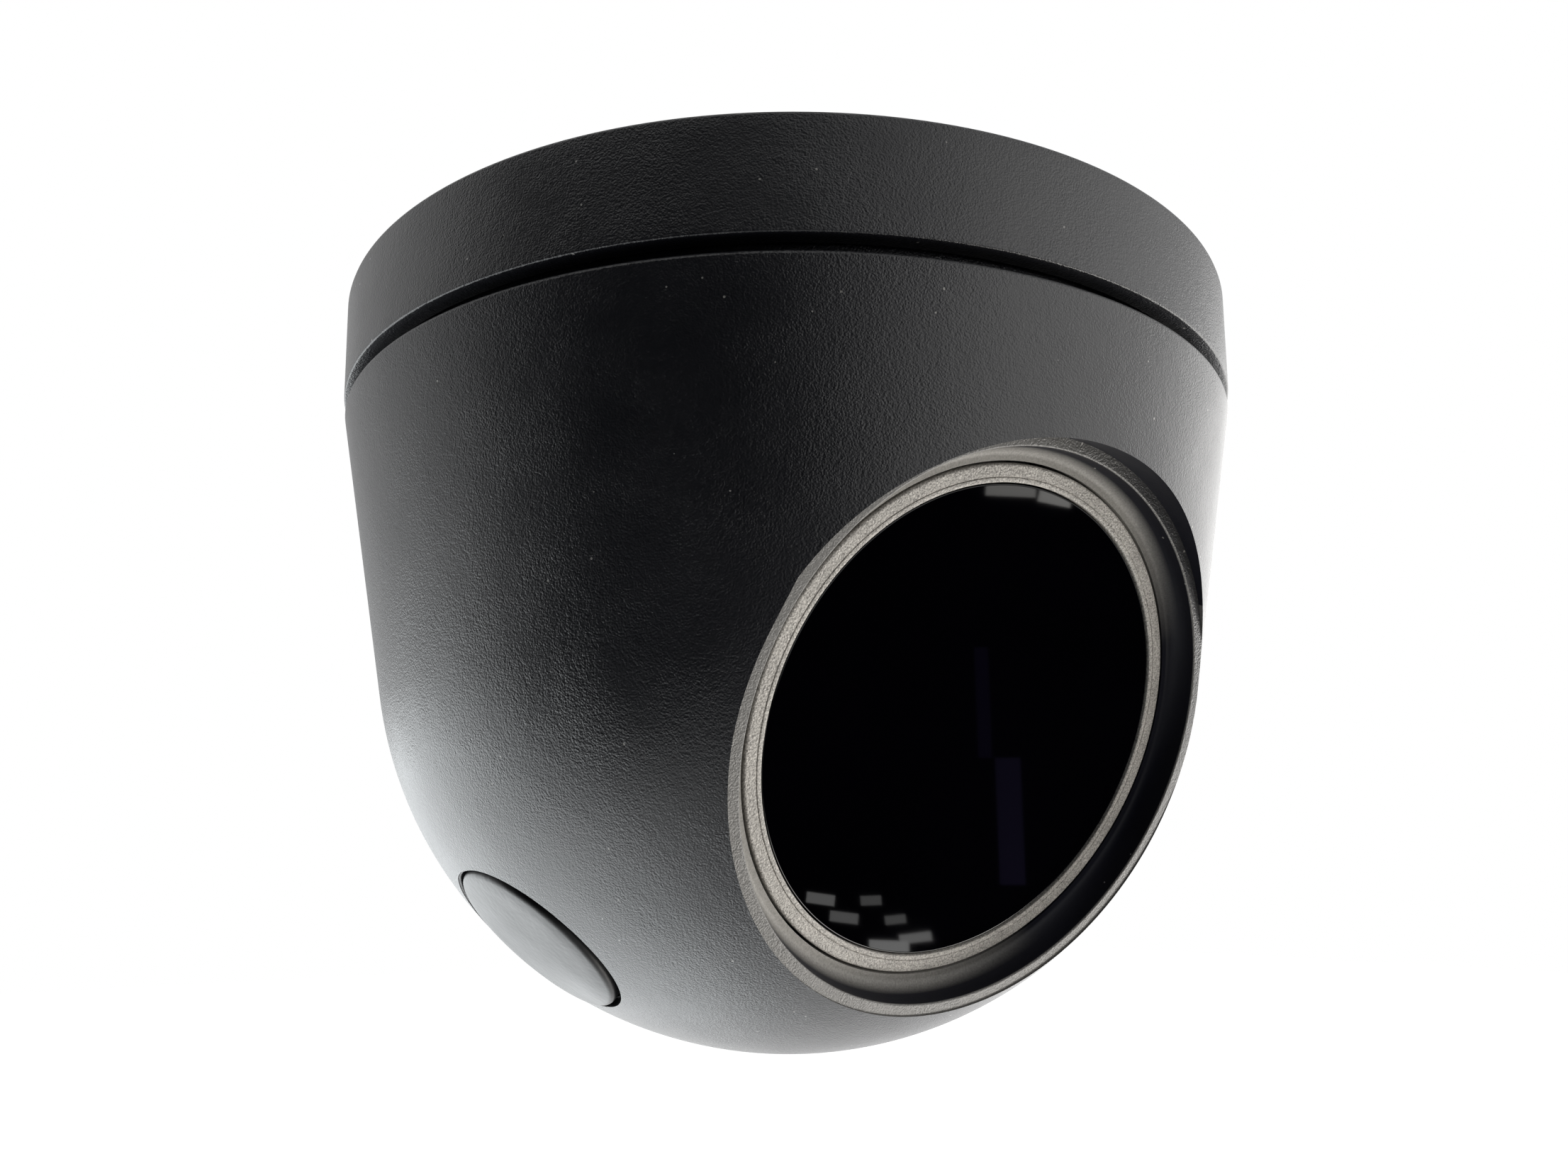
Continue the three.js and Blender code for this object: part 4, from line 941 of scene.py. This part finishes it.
def shaded_recess_wall(name):
    """The recess wall's smooth navy black: its low reflection and navy tint are painted shade. Where it
    meets the recess floor it gets the painted sandy highlight.
    """
    material, tree, surface, place, cloud = new_surface(name, 70.0)
    black = blend(tree, cloud, (0.0014, 0.0016, 0.0046), (0.0026, 0.0028, 0.0070))
    painted_highlight = add(tree, "Attribute", attribute_name="painted_highlight").outputs["Fac"]
    highlighted = use(tree, painted_sand_highlight, {"Place": place, "Black": black, "Highlight Share": painted_highlight})["Colour"]
    relief = use(tree, grain, {"Place": place, "Pebble Scale": 3300.0})["Height"]
    feed(tree, surface, {
        "Base Color": use(tree, dust, {"Place": place, "Colour": highlighted, "Amount": 0.5})["Colour"],
        "Roughness": spread(tree, cloud, 0.42, 0.55),
        "Normal": bumps(tree, relief, 0.008),
        # the low reflection is painted shade on the recess wall
        "Specular IOR Level": 0.16,
    })
    return material


def grained_shell(name):
    """The housings' black moulding, painted a pale sandy grey round the window where the highlight mark
    is set: a painted highlight.
    """
    material, tree, surface, place, cloud = new_surface(name, 40.0)
    black = blend(tree, cloud, (0.0015, 0.0018, 0.0035), (0.0028, 0.0030, 0.0052))
    # the mark is a painted highlight: pale sandy grey on the land, lip and recess floor
    painted_highlight = add(tree, "Attribute", attribute_name="painted_highlight").outputs["Fac"]
    highlighted = use(tree, painted_sand_highlight, {"Place": place, "Black": black, "Highlight Share": painted_highlight})["Colour"]
    polish = spread(tree, cloud, 0.355, 0.425)
    rough = add(tree, "Mix", {"Factor": painted_highlight, "A": polish, "B": 0.56}, data_type="FLOAT")
    fine_relief, broad_relief = (
        use(tree, grain, {"Place": place, "Pebble Scale": scale, "Unevenness": 1.0})["Height"]
        for scale in (4300.0, 1700.0)
    )
    patches = use(tree, clouds, {"Place": place, "Cloud Scale": 110.0})["Cloud"]
    both = reckon(tree, "MULTIPLY_ADD", broad_relief, 0.42, fine_relief)
    relief = reckon(tree, "MULTIPLY", both, spread(tree, patches, 0.45, 1.0))
    feed(tree, surface, {
        "Base Color": use(tree, dust, {"Place": place, "Colour": highlighted, "Amount": 0.6})["Colour"],
        "Roughness": rough.outputs["Result"],
        "Normal": bumps(tree, relief, 0.06),
    })
    return material


def rubbed_ring(name):
    """The window ring: sandy grey all over, speckled by the rubbing."""
    material, tree, surface, place, cloud = new_surface(name, 160.0)
    speckle = stretch(tree, noise(tree, place, 4600.0, 2.0), 0.32, 0.68)
    tone = blend(tree, speckle, (0.19, 0.181, 0.167), (0.56, 0.537, 0.500))
    duller = blend(tree, cloud, (0.80, 0.79, 0.78), (1.06, 1.05, 1.04))
    relief = use(tree, grain, {"Place": place, "Pebble Scale": 4200.0, "Unevenness": 1.0})["Height"]
    feed(tree, surface, {
        "Base Color": blend(tree, 1.0, tone, duller, blend_type="MULTIPLY"),
        "Roughness": spread(tree, cloud, 0.48, 0.62),
        "Normal": bumps(tree, relief, 0.06),
    })
    return material


# a moulding has two tones, least and most roughness, and the scale, depth and unevenness of its grain
finishes = {
    "shell": grained_shell("grained_black_shell"),
    "bezel": rubbed_ring("sandy_window_ring"),
    "plug": moulding(
        "satin_service_plug", (0.0030, 0.0031, 0.0038), (0.0050, 0.0052, 0.0060),
        (0.32, 0.50), 1300.0, 0.02, 1.0, specular=0.36,
    ),
    "rubber": moulding(
        "matte_rubber", (0.010, 0.010, 0.010), (0.016, 0.016, 0.016), (0.75, 0.9), 2400.0, 0.01,
    ),
    "dark_glass": dark_pane("infrared_black_pane"),
    "cast_metal": metal("cast_alloy", (0.5, 0.51, 0.52), (0.4, 0.6), 1200.0, 0.02),
    "steel": metal("zinc_plated_steel", (0.56, 0.56, 0.57), (0.25, 0.4), 2500.0, 0.004),
    "friction_pad": moulding(
        "friction_felt", (0.25, 0.29, 0.33), (0.33, 0.37, 0.41), (0.85, 0.95), 1500.0, 0.03, 1.0,
    ),
    "circuit_board": board_mask("green_circuit_board"),
    "chip": moulding(
        "chip_resin", (0.014, 0.014, 0.016), (0.024, 0.024, 0.026), (0.5, 0.65), 7000.0, 0.004,
    ),
    "connector": moulding(
        "connector_resin", (0.55, 0.52, 0.43), (0.66, 0.63, 0.53), (0.4, 0.55), 5000.0, 0.003,
    ),
    "nylon": moulding(
        "black_nylon", (0.018, 0.018, 0.02), (0.03, 0.03, 0.032), (0.45, 0.6), 3400.0, 0.006,
    ),
    "emitter": clear_part("emitter_resin", (0.8, 0.78, 0.66), 0.1, 0.3),
    "filter_glass": clear_part("coated_filter", (0.35, 0.6, 0.7), 0.04, 0.7),
    "lens_glass": clear_part("coated_lens", (0.12, 0.14, 0.3), 0.02, 0.6),
}
# painted shade: the recess wall's darker, less reflective black
recess_shade_black = shaded_recess_wall("recess_wall_painted_shade")

for part in frame["record"]["subparts"]:
    dressed = nodes[part["node"]]
    dressed.data.materials.clear()
    dressed.data.materials.append(finishes[part["material_slot"]])


# ---------------------------------------------------------------- the pieces
def dress(piece, slot, body, *stands_for):
    piece.data.materials.clear()
    piece.data.materials.append(finishes[slot])
    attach(piece, body)
    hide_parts(*stands_for)


def lit_share(angle, shade_from, shade_to, fade):
    """How much of the painted highlight is left at an angle: none between two angles, where painted shade
    stands, all of it a fade away.
    """
    outside = max(shade_from - angle, angle - shade_to, 0.0)
    return min(1.0, outside / fade)


def paint_window_highlight(shell):
    """Paints a pale sandy highlight on the land, the lip and the recess floor round the window, fading up
    the recess wall; between set angles the black is left as painted shade.

    The recess wall and the wall of the pocket round the land get the shell's second material, whose low
    reflection and navy tint are painted shade.
    """
    near = 0.02                   # distances in millimetres, as in the window's own frame
    flat_within = 0.03
    land_margin = 0.05
    low_wall = 0.3
    pocket_width = 1.2
    pocket_rise = 40.0
    pocket_within = 0.15
    wall_fade = 1.5
    # strength of the painted sandy highlight on edges and lit land, and the least of it on the land in
    # painted shade
    edge_highlight = 0.4
    land_highlight = 0.05
    to_window = window_pose.inverted()
    turn_in = to_window.to_3x3()
    window_centre = window_pose @ Vector((0, 0, land_level * mm))
    mark = shell.data.attributes.new("painted_highlight", "FLOAT", "CORNER")
    for face in shell.data.polygons:
        centre = to_window @ face.center / mm
        facing = (turn_in @ face.normal).z
        reach = centre.xy.length
        in_pocket = centre.z > land_level + near and facing < 0.3 and reach < land_radius + pocket_width
        pocket_reach = land_radius + land_draft * (centre.z - land_level) / pocket_rise
        on_pocket_wall = in_pocket and abs(reach - pocket_reach) < pocket_within
        # the pocket wall's upper faces get the darker recess material, painted shade; its foot gets the
        # pale painted highlight
        if on_pocket_wall and centre.z > land_level + low_wall:
            face.material_index = 1
        elif on_pocket_wall:
            for corner in face.loop_indices:
                mark.data[corner].value = edge_highlight
        if centre.z < window_seat or reach > land_radius + land_margin:
            continue
        in_recess = reach < lip_radius + near
        on_land = facing > 0.995 and abs(centre.z - land_level) < flat_within
        on_lip = reach < lip_radius + lip_round + near and centre.z > land_level - lip_round
        for corner in face.loop_indices:
            corner_place = shell.data.vertices[shell.data.loops[corner].vertex_index].co
            angle = math.degrees(math.atan2((corner_place - window_centre).z, corner_place.x))
            rise = max(0.0, (to_window @ corner_place / mm).z - floor_level) / wall_fade
            # pale sandy grey on the lip, the land and the recess floor is a painted highlight; the angles
            # where it is gone are painted shade
            if on_lip:
                mark.data[corner].value = edge_highlight
            elif on_land:
                highlighted = lit_share(angle, shade_from=10, shade_to=65, fade=40)
                mark.data[corner].value = land_highlight + (edge_highlight - land_highlight) * highlighted
            elif in_recess:
                highlighted = lit_share(angle, shade_from=-50, shade_to=25, fade=35)
                mark.data[corner].value = highlighted * max(0.0, 1.0 - rise)
        # the recess wall's faces get the darker second material: painted shade
        if in_recess and not (on_land or on_lip):
            face.material_index = 1


shell_piece = turret_shell()
dress(shell_piece, "shell", "turret", "dome_shell")
# the shell's second material is the recess wall's painted shade
shell_piece.data.materials.append(recess_shade_black)
# paints the sandy highlight and the painted shade round the window
paint_window_highlight(shell_piece)
dress(window_ring(), "bezel", "turret", "window_bezel")
dress(window_pane(), "dark_glass", "turret", "window_glass")
dress(port_plug(), "plug", "plug", "service_plug")
dress(port_seal(), "rubber", "plug", "plug_seal")
dress(mounting_ring(), "shell", "base", "mounting_base")
dress(ceiling_seal(), "rubber", "base", "ceiling_gasket")
dress(cable_sleeve(), "rubber", "base", "cable_grommet")


# ---------------------------------------------------------------- studio
def plainly_seen(tree):
    """1 where the camera sees a thing, straight, mirrored or through glass."""
    path = add(tree, "LightPath")
    direct = reckon(tree, "MAXIMUM", path.outputs["Is Camera Ray"], path.outputs["Is Glossy Ray"])
    return reckon(tree, "MAXIMUM", direct, path.outputs["Is Transmission Ray"])


def pale_floor(name, tone, glow):
    """White studio surface that keeps the object's shadow, and reads as plain white background."""
    material, tree = new_material(name)
    matt = add(tree, "BsdfDiffuse", {"Color": (tone, tone, tone, 1)})
    strength = reckon(tree, "MULTIPLY", plainly_seen(tree), glow)
    light = add(tree, "Emission", {"Color": (1, 1, 1, 1), "Strength": strength})
    both = add(tree, "AddShader", {0: matt.outputs[0], 1: light.outputs[0]})
    add(tree, "OutputMaterial", {"Surface": both.outputs[0]})
    return material


floor_height = -0.6
drop_selection()
bpy.ops.mesh.primitive_plane_add(size=14, location=(0, 0, floor_height))
floor = bpy.context.object
floor.name = "studio_floor"
floor.data.materials.append(pale_floor("pale_floor", 0.8, 0.75))


def cover_in_black(card):
    """Black cloth for a card that keeps light off the object, and that no camera or shadow shows."""
    material, tree = new_material(card.name + "_cloth")
    cloth = add(tree, "BsdfDiffuse", {"Color": (0.004, 0.004, 0.005, 1)})
    add(tree, "OutputMaterial", {"Surface": cloth.outputs[0]})
    card.data.materials.append(material)
    card.visible_camera = False
    card.visible_shadow = False


def curved_screen(name, azimuth, spread_angle, low, high, distance):
    """A black screen that stands round the object, spread to both sides of an azimuth."""
    drop_selection()
    middle = (0, -distance, (low + high) / 2)
    bpy.ops.mesh.primitive_plane_add(size=1, location=middle, rotation=(0, math.pi / 2, 0))
    screen = bpy.context.object
    screen.name = name
    screen.scale = (high - low, 0.002, 1)
    bpy.ops.object.transform_apply(location=True, rotation=True, scale=True)
    set_down(screen, Matrix.Rotation(math.radians(azimuth - spread_angle / 2), 4, "Z"))
    bpy.ops.object.mode_set(mode="EDIT")
    bpy.ops.mesh.select_all(action="SELECT")
    bpy.ops.mesh.spin(steps=24, angle=-math.radians(spread_angle), center=(0, 0, 0), axis=(0, 0, 1))
    bpy.ops.object.mode_set(mode="OBJECT")
    cover_in_black(screen)


def flat_card(name, width, height, pose):
    """A flat black card, modelled on the XY plane and set down by a pose."""
    drop_selection()
    bpy.ops.mesh.primitive_plane_add(size=1)
    card = bpy.context.object
    card.name = name
    card.scale = (width, height, 1)
    bpy.ops.object.transform_apply(location=True, rotation=True, scale=True)
    set_down(card, pose)
    cover_in_black(card)


def soft_lamp(name, width, height, radiance, colour, pose):
    """A rectangular lamp that shines down the back of its pose, and that the camera doesn't show."""
    light = bpy.data.lights.new(name, "AREA")
    light.shape = "RECTANGLE"
    light.size = width
    light.size_y = height
    light.energy = radiance * width * height * math.pi
    light.color = colour
    lamp = bpy.data.objects.new(name, light)
    bpy.context.scene.collection.objects.link(lamp)
    lamp.matrix_world = pose
    lamp.visible_camera = False


def way_out(azimuth, elevation):
    """The direction from the turret out to an azimuth and elevation."""
    a, e = math.radians(azimuth), math.radians(elevation)
    return Vector((math.sin(a) * math.cos(e), -math.cos(a) * math.cos(e), math.sin(e)))


turret_middle = Vector((0, 0, -0.05))
lamp_distance = 0.58
card_distance = 0.6
card_azimuth = 48
card_out = way_out(card_azimuth, -28)
card_side = way_out(card_azimuth + 90, 0)
card_up = card_out.cross(card_side)


def card_pose(across, up, distance, turned=0.0):
    """A place on the mirrored card, in millimetres across and up, seen from the turret."""
    facing = Matrix((card_side, card_up, card_out)).transposed().to_4x4()
    place = turret_middle + card_out * distance + card_side * across * mm + card_up * up * mm
    return Matrix.Translation(place) @ facing @ Matrix.Rotation(math.radians(turned), 4, "Z")


curved_screen("black_screen", -63, 90, -0.46, 0.45, 0.6)
flat_card("black_floor_card", 0.62, 0.69, Matrix.Translation((0.11, -0.405, floor_height + 0.05)))
flat_card("black_mirrored_card", 0.25, 0.335, card_pose(-17, 0, card_distance))

warm = (1.0, 0.97, 0.92)
# azimuth, elevation, distance, width and height in metres, radiance and colour of the room's lights
for name, azimuth, elevation, distance, width, height, radiance, colour in (
    ("right_window", 94, -8, 0.75, 0.70, 0.94, 2.6, (1.0, 0.99, 0.97)),
    ("front_right_window", 32, 12, 0.75, 0.86, 0.52, 1.3, (1.0, 0.985, 0.96)),
    ("low_right_glow", 70, -28, 0.6, 0.15, 0.44, 9.0, warm),
    ("under_right_glow", 50, -54, 0.52, 0.34, 0.15, 8.0, warm),
    ("low_left_panel", -150, -37, 0.45, 0.6, 0.66, 3.0, (0.93, 0.98, 1.0)),
    ("back_panel", 140, -12, 0.8, 0.8, 0.7, 0.8, (1.0, 1.0, 1.0)),
):
    out = way_out(azimuth, elevation)
    facing = out.to_track_quat("Z", "Y").to_matrix().to_4x4()
    pose = Matrix.Translation(turret_middle + out * distance) @ facing
    soft_lamp(name, width, height, radiance, colour, pose)

# What the pane mirrors before the black card: small louvres, two pale frames and two faint violet strips.
# place across and up, turn, width and height in millimetres, radiance and colour
louvre = (1.0, 1.0, 0.99)
pale = (1.0, 0.98, 0.94)
for name, across, up, turned, width, height, radiance, colour in (
    ("louvre_1", -22, -132, 27, 16.5, 6.2, 2.3, louvre),
    ("louvre_2", 2.5, -116, 37, 12, 5.4, 1.3, louvre),
    ("louvre_3", -5, -133, 28, 16.5, 6.0, 1.9, louvre),
    ("louvre_4", 20, -117, 41, 12, 5.0, 1.4, louvre),
    ("louvre_5", 35, -119, 42, 18.5, 5.4, 2.7, louvre),
    ("louvre_6", 25.5, -132, 33, 23, 7.4, 3.5, louvre),
    ("pale_frame_1", -60, 129, 30, 29, 8, 3.0, pale),
    ("pale_frame_2", -36, 139, 20, 19, 9, 4.0, pale),
    ("violet_strip_high", -6, 15.5, 35, 8, 64, 0.08, (0.45, 0.35, 1.0)),
    ("violet_strip_low", 43.5, -33, 35, 14.5, 72, 0.14, (0.5, 0.42, 1.0)),
):
    pose = card_pose(across, up, lamp_distance, turned)
    soft_lamp(name, width * mm, height * mm, radiance, colour, pose)

world = bpy.data.worlds.new("white_room")
bpy.context.scene.world = world
world.use_nodes = True
sky = world.node_tree
sky.nodes.clear()
fill = add(sky, "Background", {"Color": (1, 1, 1, 1), "Strength": 0.4})
white = add(sky, "Background", {"Color": (1, 1, 1, 1), "Strength": 1.0})
mixed = add(sky, "MixShader", {0: plainly_seen(sky), 1: fill.outputs[0], 2: white.outputs[0]})
add(sky, "OutputWorld", {"Surface": mixed.outputs[0]})

# ---------------------------------------------------------------- camera
lens = bpy.data.cameras.new("camera")
lens.lens = 27.03
lens.sensor_width = 36.0
camera = bpy.data.objects.new("camera", lens)
bpy.context.scene.collection.objects.link(camera)
right = Vector((0.82458849, -0.56567793, -0.00789303))
up = Vector((-0.12881815, -0.20132698, 0.97101665))
turn_camera = Matrix((right, up, right.cross(up))).transposed().to_4x4()
camera.matrix_world = Matrix.Translation((-0.098278, -0.141746, -0.077915)) @ turn_camera
lens.clip_start = 0.01
lens.clip_end = 50
bpy.context.scene.camera = camera

bpy.context.scene.view_settings.view_transform = "Standard"
